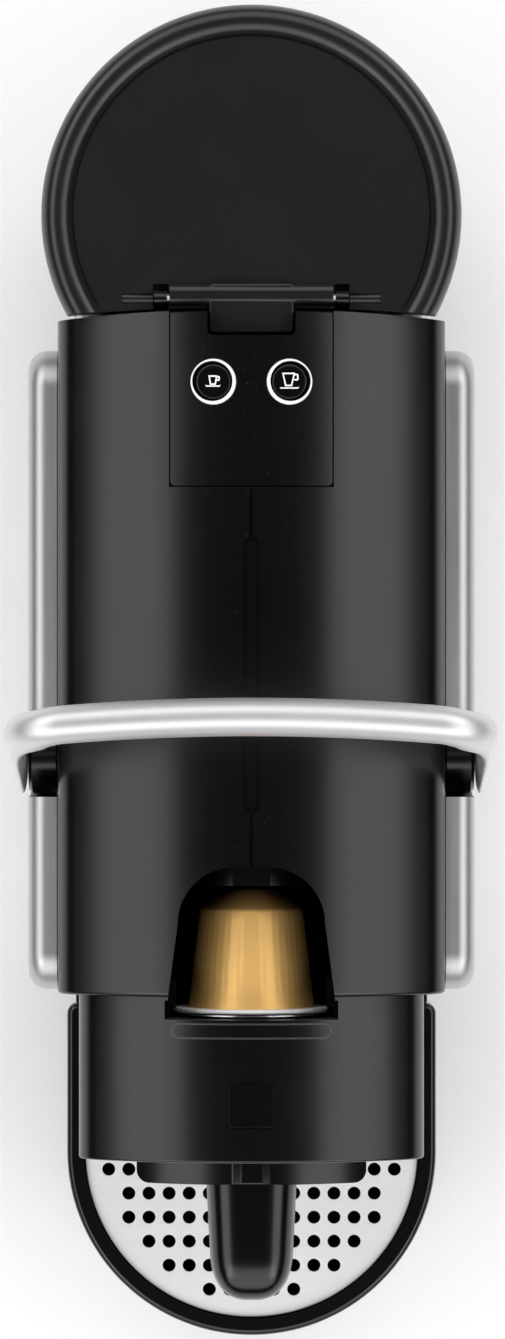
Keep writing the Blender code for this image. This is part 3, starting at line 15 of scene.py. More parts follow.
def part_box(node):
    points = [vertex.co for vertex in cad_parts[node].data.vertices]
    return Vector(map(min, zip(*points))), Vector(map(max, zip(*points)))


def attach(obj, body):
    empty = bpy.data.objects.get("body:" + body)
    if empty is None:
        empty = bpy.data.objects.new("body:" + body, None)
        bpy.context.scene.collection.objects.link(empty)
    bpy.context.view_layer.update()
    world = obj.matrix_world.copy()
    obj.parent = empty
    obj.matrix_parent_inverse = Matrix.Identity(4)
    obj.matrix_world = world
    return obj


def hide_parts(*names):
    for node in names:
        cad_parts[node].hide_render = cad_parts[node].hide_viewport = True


bl_info = {
    "name": "Pod Coffee Machine",
    "version": (1, 0, 0),
    "blender": (4, 5, 0),
    "location": "View3D > Sidebar > Coffee",
    "description": "Models and finishes the pieces of a small pod coffee machine",
    "category": "Mesh",
}

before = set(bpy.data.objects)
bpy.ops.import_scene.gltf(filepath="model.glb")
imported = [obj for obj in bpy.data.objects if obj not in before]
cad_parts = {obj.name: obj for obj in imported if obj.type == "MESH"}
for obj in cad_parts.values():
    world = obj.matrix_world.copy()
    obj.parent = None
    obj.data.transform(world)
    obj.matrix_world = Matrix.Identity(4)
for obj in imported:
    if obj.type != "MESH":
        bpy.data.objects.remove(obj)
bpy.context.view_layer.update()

mm = 0.001
# Fixed places along the machine, and a height above all of it where cutters end.
OVERHEAD = 240 * mm
GROOVE_FRONT = -23.7 * mm
GROOVE_REAR = 39.8 * mm
DUCT_Y = -88 * mm
INLAY_FRONT = -96.6 * mm
INLAY_REAR = -86.4 * mm
OUTLET_FRONT = -115.8 * mm
SPOUT_Y = -134 * mm
FIRST_ROW = -150.9 * mm
SIDES = ((-1, "left"), (1, "right"))


# ---- sizes and colours ----------------------------------------------------------------------------
def length(name, description, default):
    return FloatProperty(
        name=name, description=description, default=default, min=0.0, unit="LENGTH", precision=5
    )


def colour(name, description, default):
    return FloatVectorProperty(
        name=name, description=description, default=default, size=3, subtype="COLOR", min=0, max=1
    )


class BodySizes(PropertyGroup):
    crown: length("Crown radius", "Radius of the arc over the top of the housing", 75.0 * mm)
    shoulder: length("Shoulder radius", "Blend from the crown into the upright sides", 9.0 * mm)
    wall: length("Wall", "Thickness of the moulded shell", 2.5 * mm)
    bulge: length("Rear bulge", "How far the rear wall bows out in the middle", 2.0 * mm)
    roll: length("Panel roll", "Radius of the side panels' rolled outer edge", 4.2 * mm)
    lip: length("Lip", "Rounding where the shell meets its open ends", 0.9 * mm)
    label: length("Label half width", "Half the width of the blank outline on the head", 18.6 * mm)
    label_height: length("Label height", "Height of the blank outline", 3.7 * mm)
    label_line: length("Label line", "Width of the outline's line", 0.42 * mm)
    label_gap: length("Label gap", "Distance from the pod opening to the middle of the outline", 2.6 * mm)
    head_crown: length("Head crown radius", "Radius of the arc over the head", 66.0 * mm)
    slot_half: length("Slot half width", "Half the width of the pod opening at its front", 20.1 * mm)
    slot_neck: length("Slot neck", "Half the width of the pod opening near its rear", 17.0 * mm)
    slot_bend: length("Slot bend", "Radius of the opening's rear corners", 13.0 * mm)
    slot_front: length("Slot front", "Distance of the opening's straight edge ahead of the centre", 71.8 * mm)
    slot_rear: length("Slot rear", "Distance of the arched end ahead of the centre", 36.4 * mm)
    ledge: FloatProperty(
        name="Slot ledge", description="Where the opening narrows", default=-67.4 * mm, unit="LENGTH"
    )
    groove: length("Groove", "Width of the long groove along the top", 3.7 * mm)
    line: length("Fine line", "Width of the fine line that carries the groove on", 0.7 * mm)


class ControlSizes(PropertyGroup):
    half: length("Half width", "Half the width of the control panel", 19.0 * mm)
    front: length("Front", "Distance of the panel's front edge behind the centre", 51.3 * mm)
    icon: length("Icon", "Width of the cup drawn on the larger button", 3.0 * mm)
    stroke: length("Stroke", "Width of the icon's lines", 0.34 * mm)
    ring: length("Ring", "Radius of the opening in a light ring", 4.62 * mm)
    offset: length("Ring offset", "How far the ring's opening lies off its centre", 0.26 * mm)
    tab_half: length("Tab recess", "Half the width of the recess for the lid's tab", 10.2 * mm)


class LeverSizes(PropertyGroup):
    reach: length("Reach", "Distance from the pivot to the outside of the bar", 90.0 * mm)
    bar: length("Bar height", "Height of the bar's section", 11.6 * mm)
    depth: length("Bar depth", "Front to back size of the bar's section", 8.6 * mm)
    arm: length("Arm", "Thickness of the arms where they meet the hubs", 2.8 * mm)
    bend: length("Bend", "Radius of the corners between bar and arms", 13.0 * mm)
    bow: length("Bow", "How far the bar bows back in the middle", 3.0 * mm)
    lean: FloatProperty(
        name="Lean", description="How far the raised lever leans back",
        default=math.radians(4.5), unit="ROTATION"
    )


class TankSizes(PropertyGroup):
    centre: length("Centre", "Distance of the round tank's axis behind the centre", 114.5 * mm)
    recess: length("Recess", "Radius of the lid's sunken middle", 41.7 * mm)
    sunk: length("Sunk", "Depth of the lid's sunken middle", 2.6 * mm)
    crest: length("Crest", "Distance from the lid's edge to the crest of its rim", 3.7 * mm)
    band: length("Hinge band", "Half the length of the band over the hinge", 18.9 * mm)
    wall: length("Wall", "Thickness of the clear wall", 2.2 * mm)


class TraySizes(PropertyGroup):
    centre: length("Centre", "Distance of the round tray's axis ahead of the centre", 115.1 * mm)
    nose: length("Nose half width", "Half the width of the outlet's nose at the bar", 11.2 * mm)
    taper: length("Nose taper", "How much the nose's half width draws in towards its tip", 1.6 * mm)
    ledge: length("Outlet crown", "Radius of the crown over the outlet's front ledge", 48.0 * mm)
    hole: length("Hole radius", "Radius of one hole in the grid", 1.7 * mm)
    pitch_x: length("Pitch across", "Distance between holes across the grid", 5.2 * mm)
    pitch_y: length("Pitch along", "Distance between rows of holes", 6.2 * mm)
    first_x: length("First hole", "Distance of the first hole from the middle", 5.7 * mm)
    field: length("Field", "Radius inside which the holes lie", 37.8 * mm)
    rows: IntProperty(name="Rows", description="Rows of holes", default=10, min=1, max=14)


class PodSizes(PropertyGroup):
    rim: length("Rim radius", "Radius of the pod's flat rim", 18.5 * mm)
    body: length("Body radius", "Radius of the cup at its rim", 14.8 * mm)
    shoulder: length("Shoulder radius", "Radius of the cup at its shoulder", 12.0 * mm)
    flute: length("Flute depth", "Depth of the pressed flutes", 0.03 * mm)
    flutes: IntProperty(name="Flutes", description="Pressed flutes round the cup", default=48, min=12, max=96)


class Finishes(PropertyGroup):
    shell: colour("Shell", "Satin black moulding", (0.0011, 0.0011, 0.0012))
    gloss: colour("Gloss", "Gloss black moulding", (0.0009, 0.0009, 0.0010))
    lid: colour("Lid", "Charcoal moulding of the tank lid", (0.0034, 0.0037, 0.0036))
    panel: colour("Side panel", "Brushed aluminium", (0.50, 0.50, 0.51))
    chrome: colour("Chrome", "Satin chrome of the lever", (0.70, 0.70, 0.71))
    grid: colour("Grid", "Stainless steel of the grid", (0.78, 0.78, 0.78))
    rim: colour("Pod rim", "Bare aluminium of the pod's flat rim", (0.93, 0.93, 0.93))
    ink: colour("Ink", "Grey line of the blank outline", (0.030, 0.030, 0.031))
    gold: colour("Gold", "Lacquer on the pod", (1.0, 0.60, 0.19))
    tank: colour("Tank", "Tint of the clear tank", (0.30, 0.30, 0.32))


class StageSizes(PropertyGroup):
    height: length("Camera height", "Height of the camera over the table", 1.70)
    offset: length("Camera offset", "Distance of the camera behind the centre", 9.2 * mm)
    lens: FloatProperty(name="Lens", description="Focal length in millimetres", default=172.15, min=20)
    softbox: FloatProperty(name="Softbox", description="Power of each side softbox", default=9.7, min=0)
    ends: FloatProperty(
        name="End softboxes", description="Power of the front and back softboxes", default=27.0, min=0
    )
    fill: FloatProperty(name="Fill", description="Strength of the light all round", default=0.02, min=0)


class MachineSettings(PropertyGroup):
    body: PointerProperty(type=BodySizes)
    control: PointerProperty(type=ControlSizes)
    lever: PointerProperty(type=LeverSizes)
    tank: PointerProperty(type=TankSizes)
    tray: PointerProperty(type=TraySizes)
    pod: PointerProperty(type=PodSizes)
    finish: PointerProperty(type=Finishes)
    stage: PointerProperty(type=StageSizes)


def settings():
    return bpy.context.scene.coffee_machine


# ---- building pieces ------------------------------------------------------------------------------
def arc(centre, radius, start, end, steps):
    """Points on an arc, in degrees, both ends included."""
    angles = [math.radians(start + (end - start) * i / steps) for i in range(steps + 1)]
    return [(centre[0] + radius * math.cos(a), centre[1] + radius * math.sin(a)) for a in angles]


def ring_points(centre, radius, steps):
    return arc(centre, radius, 0, 360 - 360 / steps, steps - 1)


def rectangle(low_x, low_y, high_x, high_y):
    return [(low_x, low_y), (high_x, low_y), (high_x, high_y), (low_x, high_y)]


PLACES = {
    "X": lambda u, v, w: (w, u, v),
    "Y": lambda u, v, w: (u, w, v),
    "Z": lambda u, v, w: (u, v, w),
}


def prism(points, low, high, axis="Z"):
    """A flat outline extruded along an axis. Its points are in the other two axes, in X, Y, Z order."""
    place = PLACES[axis]
    bm = bmesh.new()
    verts = [bm.verts.new(place(u, v, low)) for u, v in points]
    face = bm.faces.new(verts)
    top = bmesh.ops.extrude_face_region(bm, geom=[face])["geom"]
    moved = [item for item in top if isinstance(item, bmesh.types.BMVert)]
    bmesh.ops.translate(bm, vec=Vector(place(0, 0, high - low)), verts=moved)
    bmesh.ops.recalc_face_normals(bm, faces=bm.faces)
    return bm


def block(low, high):
    bm = bmesh.new()
    bmesh.ops.create_cube(bm, size=1)
    size = Vector(high) - Vector(low)
    bmesh.ops.transform(
        bm, matrix=Matrix.Translation((Vector(low) + Vector(high)) / 2) @ Matrix.Diagonal((*size, 1)),
        verts=bm.verts,
    )
    return bm


def cylinder(centre, radius, low, high, axis="Z", steps=48):
    return prism(ring_points(centre, radius, steps), low, high, axis)


def turned(profile, centre, axis="Z", steps=64):
    """A profile of (radius, height) spun once round an axis through centre."""
    bm = bmesh.new()
    verts = [bm.verts.new((r, 0, h)) for r, h in profile]
    edges = [bm.edges.new(pair) for pair in zip(verts, verts[1:])]
    bmesh.ops.spin(
        bm, geom=verts + edges, cent=(0, 0, 0), axis=(0, 0, 1), angle=2 * math.pi, steps=steps, use_merge=True
    )
    bmesh.ops.remove_doubles(bm, verts=bm.verts, dist=0.002 * mm)
    turn = Matrix.Identity(4)
    if axis == "Y":
        turn = Matrix.Rotation(math.radians(-90), 4, "X")
        place = Matrix.Translation((centre[0], 0, centre[1]))
    elif axis == "X":
        turn = Matrix.Rotation(math.radians(90), 4, "Y")
        place = Matrix.Translation((0, centre[0], centre[1]))
    else:
        place = Matrix.Translation((centre[0], centre[1], 0))
    bmesh.ops.transform(bm, matrix=place @ turn, verts=bm.verts)
    bmesh.ops.recalc_face_normals(bm, faces=bm.faces)
    return bm


def rounded(corners, radius, steps=8):
    """An outline with each corner rounded to the same radius."""
    points = []
    for i, corner in enumerate(corners):
        here = Vector(corner)
        before = (Vector(corners[i - 1]) - here).normalized()
        after = (Vector(corners[(i + 1) % len(corners)]) - here).normalized()
        half = before.angle(after) / 2
        centre = here + (before + after).normalized() * (radius / math.sin(half))
        first = here + before * (radius / math.tan(half)) - centre
        last = here + after * (radius / math.tan(half)) - centre
        start = math.degrees(math.atan2(first.y, first.x))
        turn = (math.degrees(math.atan2(last.y, last.x)) - start + 180) % 360 - 180
        points += arc(centre, radius, start, start + turn, steps)
    return points


def round_edges(bm, width, segments=4, chosen=None, sharper_than=40):
    """Bevels the chosen edges, or every edge sharper than an angle."""
    if chosen is None:
        limit = math.radians(sharper_than)
        chosen = [e for e in bm.edges if len(e.link_faces) == 2 and e.calc_face_angle(0) > limit]
    bmesh.ops.bevel(
        bm, geom=chosen, offset=width, offset_type="OFFSET", segments=segments, profile=0.5,
        affect="EDGES", material=-1, clamp_overlap=True,
    )
    return bm


def solid(bm, name="solid"):
    mesh = bpy.data.meshes.new(name)
    bm.to_mesh(mesh)
    bm.free()
    obj = bpy.data.objects.new(name, mesh)
    bpy.context.collection.objects.link(obj)
    return obj


def shaped(body, *others, how="DIFFERENCE"):
    """The body with the others cut from it, added to it or kept to, one after another."""
    for other in others:
        base, helper = solid(body), solid(other)
        step = base.modifiers.new("shape", "BOOLEAN")
        step.operation = how
        step.object = helper
        step.solver = "EXACT"
        bpy.context.view_layer.update()
        mesh = bpy.data.meshes.new_from_object(base.evaluated_get(bpy.context.evaluated_depsgraph_get()))
        body = bmesh.new()
        body.from_mesh(mesh)
        bmesh.ops.remove_doubles(body, verts=body.verts, dist=0.001 * mm)
        bpy.data.meshes.remove(mesh)
        for spare in (base, helper):
            used = spare.data
            bpy.data.objects.remove(spare, do_unlink=True)
            bpy.data.meshes.remove(used)
    return body


def cut(body, *others):
    return shaped(body, *others)


def joined(body, *others):
    return shaped(body, *others, how="UNION")


def kept_to(body, *others):
    return shaped(body, *others, how="INTERSECT")


def finished(bm, name, finish, body, replaces=(), soften=0.0, segments=2, smooth=35):
    """Turns a bmesh into a named piece with its material, which rides on a CAD body."""
    mesh = bpy.data.meshes.new(name)
    bm.to_mesh(mesh)
    bm.free()
    mesh.shade_smooth()
    mesh.set_sharp_from_angle(angle=math.radians(smooth))
    piece = bpy.data.objects.new(name, mesh)
    bpy.context.collection.objects.link(piece)
    mesh.materials.append(finish)
    if soften:
        edge = piece.modifiers.new("soft edges", "BEVEL")
        edge.width = soften
        edge.segments = segments
        edge.limit_method = "ANGLE"
        edge.angle_limit = math.radians(40)
        edge.harden_normals = True
        edge.use_clamp_overlap = True
    evened = piece.modifiers.new("even shading", "WEIGHTED_NORMAL")
    evened.keep_sharp = True
    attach(piece, body)
    if replaces:
        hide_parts(*replaces)
    return piece


# ---- finishes -------------------------------------------------------------------------------------
def add(tree, kind, where=(0, 0), **values):
    """Adds a node to a tree and sets its properties."""
    node = tree.nodes.new(kind)
    node.location = where
    for key, value in values.items():
        setattr(node, key, value)
    return node


def new_group(name, inputs, outputs):
    """An empty node group with named sockets. An input is (name, type, default)."""
    group = bpy.data.node_groups.new(name, "ShaderNodeTree")
    for title, kind, default in inputs:
        socket = group.interface.new_socket(title, in_out="INPUT", socket_type=kind)
        if default is not None:
            socket.default_value = default
    for title, kind in outputs:
        group.interface.new_socket(title, in_out="OUTPUT", socket_type=kind)
    return group, add(group, "NodeGroupInput", (-900, 0)), add(group, "NodeGroupOutput", (700, 0))


def scaled(tree, value, low, high, where=(0, 0)):
    """Maps a 0 to 1 value on to a range. low and high are numbers or sockets."""
    node = add(tree, "ShaderNodeMapRange", where)
    tree.links.new(value, node.inputs["Value"])
    for title, end in (("To Min", low), ("To Max", high)):
        if isinstance(end, (int, float)):
            node.inputs[title].default_value = end
        else:
            tree.links.new(end, node.inputs[title])
    return node.outputs["Result"]


def moulded_grain():
    """Fine spark-eroded grain of a moulding, with slow patches where the gloss varies."""
    group = bpy.data.node_groups.get("Moulded grain")
    if group:
        return group
    group, given, result = new_group(
        "Moulded grain",
        [("Vector", "NodeSocketVector", None), ("Grain size", "NodeSocketFloat", 2600.0),
         ("Smooth", "NodeSocketFloat", 0.38), ("Rough", "NodeSocketFloat", 0.46)],
        [("Height", "NodeSocketFloat"), ("Roughness", "NodeSocketFloat"), ("Patches", "NodeSocketFloat")],
    )
    fine = add(group, "ShaderNodeTexNoise", (-600, 200))
    fine.inputs["Detail"].default_value = 3
    fine.inputs["Roughness"].default_value = 0.6
    slow = add(group, "ShaderNodeTexNoise", (-600, -200))
    slow.inputs["Scale"].default_value = 32
    slow.inputs["Detail"].default_value = 5
    slow.inputs["Roughness"].default_value = 0.62
    group.links.new(given.outputs["Vector"], fine.inputs["Vector"])
    group.links.new(given.outputs["Vector"], slow.inputs["Vector"])
    group.links.new(given.outputs["Grain size"], fine.inputs["Scale"])
    rough = scaled(group, slow.outputs["Fac"], given.outputs["Smooth"], given.outputs["Rough"], (0, -100))
    group.links.new(fine.outputs["Fac"], result.inputs["Height"])
    group.links.new(rough, result.inputs["Roughness"])
    group.links.new(slow.outputs["Fac"], result.inputs["Patches"])
    return group


def drawn_lines():
    """Long parallel lines of a brushed or drawn metal. The vector is stretched before it comes in."""
    group = bpy.data.node_groups.get("Drawn lines")
    if group:
        return group
    group, given, result = new_group(
        "Drawn lines",
        [("Vector", "NodeSocketVector", None), ("Fineness", "NodeSocketFloat", 900.0),
         ("Smooth", "NodeSocketFloat", 0.24), ("Rough", "NodeSocketFloat", 0.40)],
        [("Height", "NodeSocketFloat"), ("Roughness", "NodeSocketFloat"), ("Shade", "NodeSocketFloat")],
    )
    lines = add(group, "ShaderNodeTexNoise", (-600, 150))
    lines.inputs["Detail"].default_value = 4
    lines.inputs["Roughness"].default_value = 0.72
    group.links.new(given.outputs["Vector"], lines.inputs["Vector"])
    group.links.new(given.outputs["Fineness"], lines.inputs["Scale"])
    rough = scaled(group, lines.outputs["Fac"], given.outputs["Smooth"], given.outputs["Rough"], (0, -50))
    shade = scaled(group, lines.outputs["Fac"], 0.93, 1.05, (0, -250))
    group.links.new(lines.outputs["Fac"], result.inputs["Height"])
    group.links.new(rough, result.inputs["Roughness"])
    group.links.new(shade, result.inputs["Shade"])
    return group


def edge_wear():
    """A mask that is high on convex edges, broken up by noise, where hands polish a surface."""
    group = bpy.data.node_groups.get("Edge wear")
    if group:
        return group
    group, given, result = new_group(
        "Edge wear",
        [("Vector", "NodeSocketVector", None), ("Amount", "NodeSocketFloat", 0.5)],
        [("Mask", "NodeSocketFloat")],
    )
    shape = add(group, "ShaderNodeNewGeometry", (-700, 150))
    edges = add(group, "ShaderNodeMapRange", (-450, 150))
    edges.inputs["From Min"].default_value = 0.52
    edges.inputs["From Max"].default_value = 0.62
    group.links.new(shape.outputs["Pointiness"], edges.inputs["Value"])
    breaks = add(group, "ShaderNodeTexNoise", (-700, -150))
    breaks.inputs["Scale"].default_value = 160
    breaks.inputs["Detail"].default_value = 6
    group.links.new(given.outputs["Vector"], breaks.inputs["Vector"])
    broken = add(group, "ShaderNodeMath", (-200, 50), operation="MULTIPLY")
    group.links.new(edges.outputs["Result"], broken.inputs[0])
    group.links.new(breaks.outputs["Fac"], broken.inputs[1])
    amount = add(group, "ShaderNodeMath", (50, 50), operation="MULTIPLY")
    group.links.new(broken.outputs[0], amount.inputs[0])
    group.links.new(given.outputs["Amount"], amount.inputs[1])
    group.links.new(amount.outputs[0], result.inputs["Mask"])
    return group


def fine_dust():
    """Sparse specks and a thin film that settle on faces that look up."""
    group = bpy.data.node_groups.get("Fine dust")
    if group:
        return group
    group, given, result = new_group(
        "Fine dust",
        [("Vector", "NodeSocketVector", None), ("Amount", "NodeSocketFloat", 0.3)],
        [("Mask", "NodeSocketFloat")],
    )
    specks = add(group, "ShaderNodeTexNoise", (-700, 100))
    specks.inputs["Scale"].default_value = 1400
    specks.inputs["Detail"].default_value = 2
    film = add(group, "ShaderNodeTexNoise", (-700, -150))
    film.inputs["Scale"].default_value = 45
    film.inputs["Detail"].default_value = 4
    for texture in (specks, film):
        group.links.new(given.outputs["Vector"], texture.inputs["Vector"])
    sparse = add(group, "ShaderNodeMapRange", (-450, 100))
    sparse.inputs["From Min"].default_value = 0.66
    sparse.inputs["From Max"].default_value = 0.78
    group.links.new(specks.outputs["Fac"], sparse.inputs["Value"])
    up = add(group, "ShaderNodeNewGeometry", (-900, -350))
    split = add(group, "ShaderNodeSeparateXYZ", (-700, -350))
    group.links.new(up.outputs["Normal"], split.inputs[0])
    facing = add(group, "ShaderNodeMapRange", (-450, -350))
    facing.inputs["From Min"].default_value = 0.55
    group.links.new(split.outputs["Z"], facing.inputs["Value"])
    both = add(group, "ShaderNodeMath", (-200, 0), operation="MULTIPLY_ADD")
    group.links.new(sparse.outputs["Result"], both.inputs[0])
    group.links.new(film.outputs["Fac"], both.inputs[1])
    thin = add(group, "ShaderNodeMath", (-350, -150), operation="MULTIPLY")
    thin.inputs[1].default_value = 0.02
    group.links.new(film.outputs["Fac"], thin.inputs[0])
    group.links.new(thin.outputs[0], both.inputs[2])
    seen = add(group, "ShaderNodeMath", (0, -50), operation="MULTIPLY")
    group.links.new(both.outputs[0], seen.inputs[0])
    group.links.new(facing.outputs["Result"], seen.inputs[1])
    amount = add(group, "ShaderNodeMath", (200, -50), operation="MULTIPLY")
    group.links.new(seen.outputs[0], amount.inputs[0])
    group.links.new(given.outputs["Amount"], amount.inputs[1])
    group.links.new(amount.outputs[0], result.inputs["Mask"])
    return group


def placed_group(tree, group, where, **values):
    node = add(tree, "ShaderNodeGroup", where, node_tree=group)
    for key, value in values.items():
        node.inputs[key.replace("_", " ")].default_value = value
    return node


def base_material(name, base, roughness, metallic=0.0, specular=0.5):
    """A Principled material, its tree, its shader and its object coordinates."""
    made = bpy.data.materials.new(name)
    made.use_nodes = True
    made.diffuse_color = (*base, 1)
    tree = made.node_tree
    shader = tree.nodes["Principled BSDF"]
    shader.inputs["Base Color"].default_value = (*base, 1)
    shader.inputs["Roughness"].default_value = roughness
    shader.inputs["Metallic"].default_value = metallic
    shader.inputs["Specular IOR Level"].default_value = specular
    where = add(tree, "ShaderNodeTexCoord", (-1300, 0)).outputs["Object"]
    return made, tree, shader, where


def bump_into(tree, shader, height, strength, distance):
    bump = add(tree, "ShaderNodeBump", (-250, -350))
    bump.inputs["Strength"].default_value = strength
    bump.inputs["Distance"].default_value = distance
    tree.links.new(height, bump.inputs["Height"])
    tree.links.new(bump.outputs["Normal"], shader.inputs["Normal"])
    return bump


def mixed(tree, factor, first, second, where=(-250, 250)):
    """A colour mix. first and second are colours or sockets."""
    node = add(tree, "ShaderNodeMix", where, data_type="RGBA")
    tree.links.new(factor, node.inputs[0])
    for socket, end in ((node.inputs[6], first), (node.inputs[7], second)):
        if isinstance(end, (tuple, list)):
            socket.default_value = end
        else:
            tree.links.new(end, socket)
    return node.outputs[2]


def moulded(name, base, smooth, rough, grain=2600.0, bump=0.06, wear=0.4, dust=0.1, specular=0.5):
    """Moulded plastic: fine grain, uneven gloss, edges polished by hands and a little dust."""
    found = bpy.data.materials.get(name)
    if found:
        return found
    made, tree, shader, where = base_material(name, base, (smooth + rough) / 2, 0.0, specular)
    skin = placed_group(tree, moulded_grain(), (-950, 100), Grain_size=grain, Smooth=smooth, Rough=rough)
    worn = placed_group(tree, edge_wear(), (-950, -150), Amount=wear)
    dusty = placed_group(tree, fine_dust(), (-950, -350), Amount=dust)
    for group in (skin, worn, dusty):
        tree.links.new(where, group.inputs["Vector"])
    lighter = tuple(min(1.0, c * 1.3) for c in base)
    tone = mixed(tree, skin.outputs["Patches"], (*base, 1), (*lighter, 1), (-650, 350))
    tone = mixed(tree, worn.outputs["Mask"], tone, (*(c * 2.0 + 0.003 for c in base), 1), (-450, 350))
    tone = mixed(tree, dusty.outputs["Mask"], tone, (0.24, 0.235, 0.225, 1), (-250, 350))
    tree.links.new(tone, shader.inputs["Base Color"])
    polished = add(tree, "ShaderNodeMath", (-450, 0), operation="MULTIPLY_ADD")
    polished.inputs[1].default_value = -0.12
    tree.links.new(worn.outputs["Mask"], polished.inputs[0])
    tree.links.new(skin.outputs["Roughness"], polished.inputs[2])
    tree.links.new(polished.outputs[0], shader.inputs["Roughness"])
    bump_into(tree, shader, skin.outputs["Height"], bump, 0.05 * mm)
    return made


def brushed(name, base, stretch, smooth, rough, fineness=900.0, bump=0.05, metallic=1.0):
    """Brushed metal. stretch is small along the brush lines and large across them."""
    found = bpy.data.materials.get(name)
    if found:
        return found
    made, tree, shader, where = base_material(name, base, (smooth + rough) / 2, metallic)
    along = add(tree, "ShaderNodeMapping", (-1150, 100))
    along.inputs["Scale"].default_value = stretch
    tree.links.new(where, along.inputs["Vector"])
    lines = placed_group(tree, drawn_lines(), (-900, 100), Fineness=fineness, Smooth=smooth, Rough=rough)
    tree.links.new(along.outputs[0], lines.inputs["Vector"])
    worn = placed_group(tree, edge_wear(), (-900, -200), Amount=0.6)
    tree.links.new(where, worn.inputs["Vector"])
    shade = add(tree, "ShaderNodeMix", (-600, 300), data_type="RGBA", blend_type="MULTIPLY")
    shade.inputs[0].default_value = 1.0
    shade.inputs[6].default_value = (*base, 1)
    tree.links.new(lines.outputs["Shade"], shade.inputs[7])
    bright = tuple(min(1.0, c * 1.15) for c in base)
    tone = mixed(tree, worn.outputs["Mask"], shade.outputs[2], (*bright, 1), (-300, 300))
    tree.links.new(tone, shader.inputs["Base Color"])
    tree.links.new(lines.outputs["Roughness"], shader.inputs["Roughness"])
    bump_into(tree, shader, lines.outputs["Height"], bump, 0.03 * mm)
    return made


def satin_chrome():
    found = bpy.data.materials.get("satin_chrome")
    if found:
        return found
    made, tree, shader, where = base_material("satin_chrome", tuple(settings().finish.chrome), 0.4, 1.0)
    skin = placed_group(tree, moulded_grain(), (-950, 100), Grain_size=420.0, Smooth=0.46, Rough=0.54)
    dusty = placed_group(tree, fine_dust(), (-950, -200), Amount=0.2)
    for group in (skin, dusty):
        tree.links.new(where, group.inputs["Vector"])
    base = (*settings().finish.chrome, 1)
    tone = mixed(tree, dusty.outputs["Mask"], base, (0.45, 0.45, 0.45, 1))
    tree.links.new(tone, shader.inputs["Base Color"])
    tree.links.new(skin.outputs["Roughness"], shader.inputs["Roughness"])
    bump_into(tree, shader, skin.outputs["Height"], 0.02, 0.03 * mm)
    return made


def satin_black():
    return moulded("satin_black", tuple(settings().finish.shell), 0.215, 0.275)


def gloss_black():
    return moulded("gloss_black", tuple(settings().finish.gloss), 0.19, 0.26, 1500.0, 0.02, 0.3, 0.06)


def charcoal():
    return moulded("charcoal", tuple(settings().finish.lid), 0.30, 0.36, 2000.0, 0.10, 0.4, 0.1, specular=0.6)


def smoked_plastic():
    """Clear tinted plastic of the water tank."""
    found = bpy.data.materials.get("smoked_plastic")
    if found:
        return found
    tint = tuple(settings().finish.tank)
    made, tree, shader, where = base_material("smoked_plastic", tint, 0.06)
    shader.inputs["Transmission Weight"].default_value = 0.9
    shader.inputs["IOR"].default_value = 1.49
    skin = placed_group(tree, moulded_grain(), (-950, 100), Grain_size=90.0, Smooth=0.04, Rough=0.12)
    tree.links.new(where, skin.inputs["Vector"])
    tree.links.new(skin.outputs["Roughness"], shader.inputs["Roughness"])
    darker = tuple(c * 0.8 for c in tint)
    tone = mixed(tree, skin.outputs["Patches"], (*tint, 1), (*darker, 1))
    tree.links.new(tone, shader.inputs["Base Color"])
    bump_into(tree, shader, skin.outputs["Patches"], 0.05, 0.2 * mm)
    return made


def crinkled_foil(name, base, smooth, rough, metallic=1.0):
    """Pressed thin aluminium with fine creases."""
    found = bpy.data.materials.get(name)
    if found:
        return found
    made, tree, shader, where = base_material(name, base, (smooth + rough) / 2, metallic)
    creases = add(tree, "ShaderNodeTexVoronoi", (-950, 100), feature="DISTANCE_TO_EDGE")
    creases.inputs["Scale"].default_value = 260
    bend = add(tree, "ShaderNodeMapping", (-1150, 100))
    bend.inputs["Scale"].default_value = (1.6, 0.35, 1.6)
    tree.links.new(where, bend.inputs["Vector"])
    tree.links.new(bend.outputs[0], creases.inputs["Vector"])
    skin = placed_group(tree, moulded_grain(), (-950, -200), Grain_size=700.0, Smooth=smooth, Rough=rough)
    tree.links.new(where, skin.inputs["Vector"])
    tree.links.new(skin.outputs["Roughness"], shader.inputs["Roughness"])
    deeper = tuple(c * 0.82 for c in base)
    tone = mixed(tree, skin.outputs["Patches"], (*base, 1), (*deeper, 1))
    tree.links.new(tone, shader.inputs["Base Color"])
    both = add(tree, "ShaderNodeMath", (-600, -50), operation="MULTIPLY_ADD")
    both.inputs[1].default_value = 3.0
    tree.links.new(creases.outputs["Distance"], both.inputs[0])
    tree.links.new(skin.outputs["Height"], both.inputs[2])
    bump_into(tree, shader, both.outputs[0], 0.25, 0.12 * mm)
    return made


# ---- shapes that several pieces share ---------------------------------------------------------------
def box_of(node):
    low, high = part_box(node)
    return Vector(low), Vector(high)


def tunnel(half, top, bottom, crown, shoulder):
    """Cross-section of the housing: upright sides, rounded shoulders and one long arc over the top."""
    centre = top - crown
    reach = crown - shoulder
    x = half - shoulder
    z = centre + math.sqrt(reach**2 - x**2)
    meet = math.degrees(math.atan2(z - centre, x))
    right = arc((x, z), shoulder, 0, meet, 14)
    over = arc((0, centre), crown, meet, 180 - meet, 180)[1:-1]
    left = arc((-x, z), shoulder, 180 - meet, 180, 14)
    return [(half, bottom), *right, *over, *left, (-half, bottom)]


def bowed_plan(half, front, rear, bulge):
    """Plan with a straight front and a rear that bows out in the middle."""
    steps = [1 - i / 16 for i in range(33)]
    return [(-half, front), (half, front), *((half * t, rear + bulge * (1 - t * t)) for t in steps)]


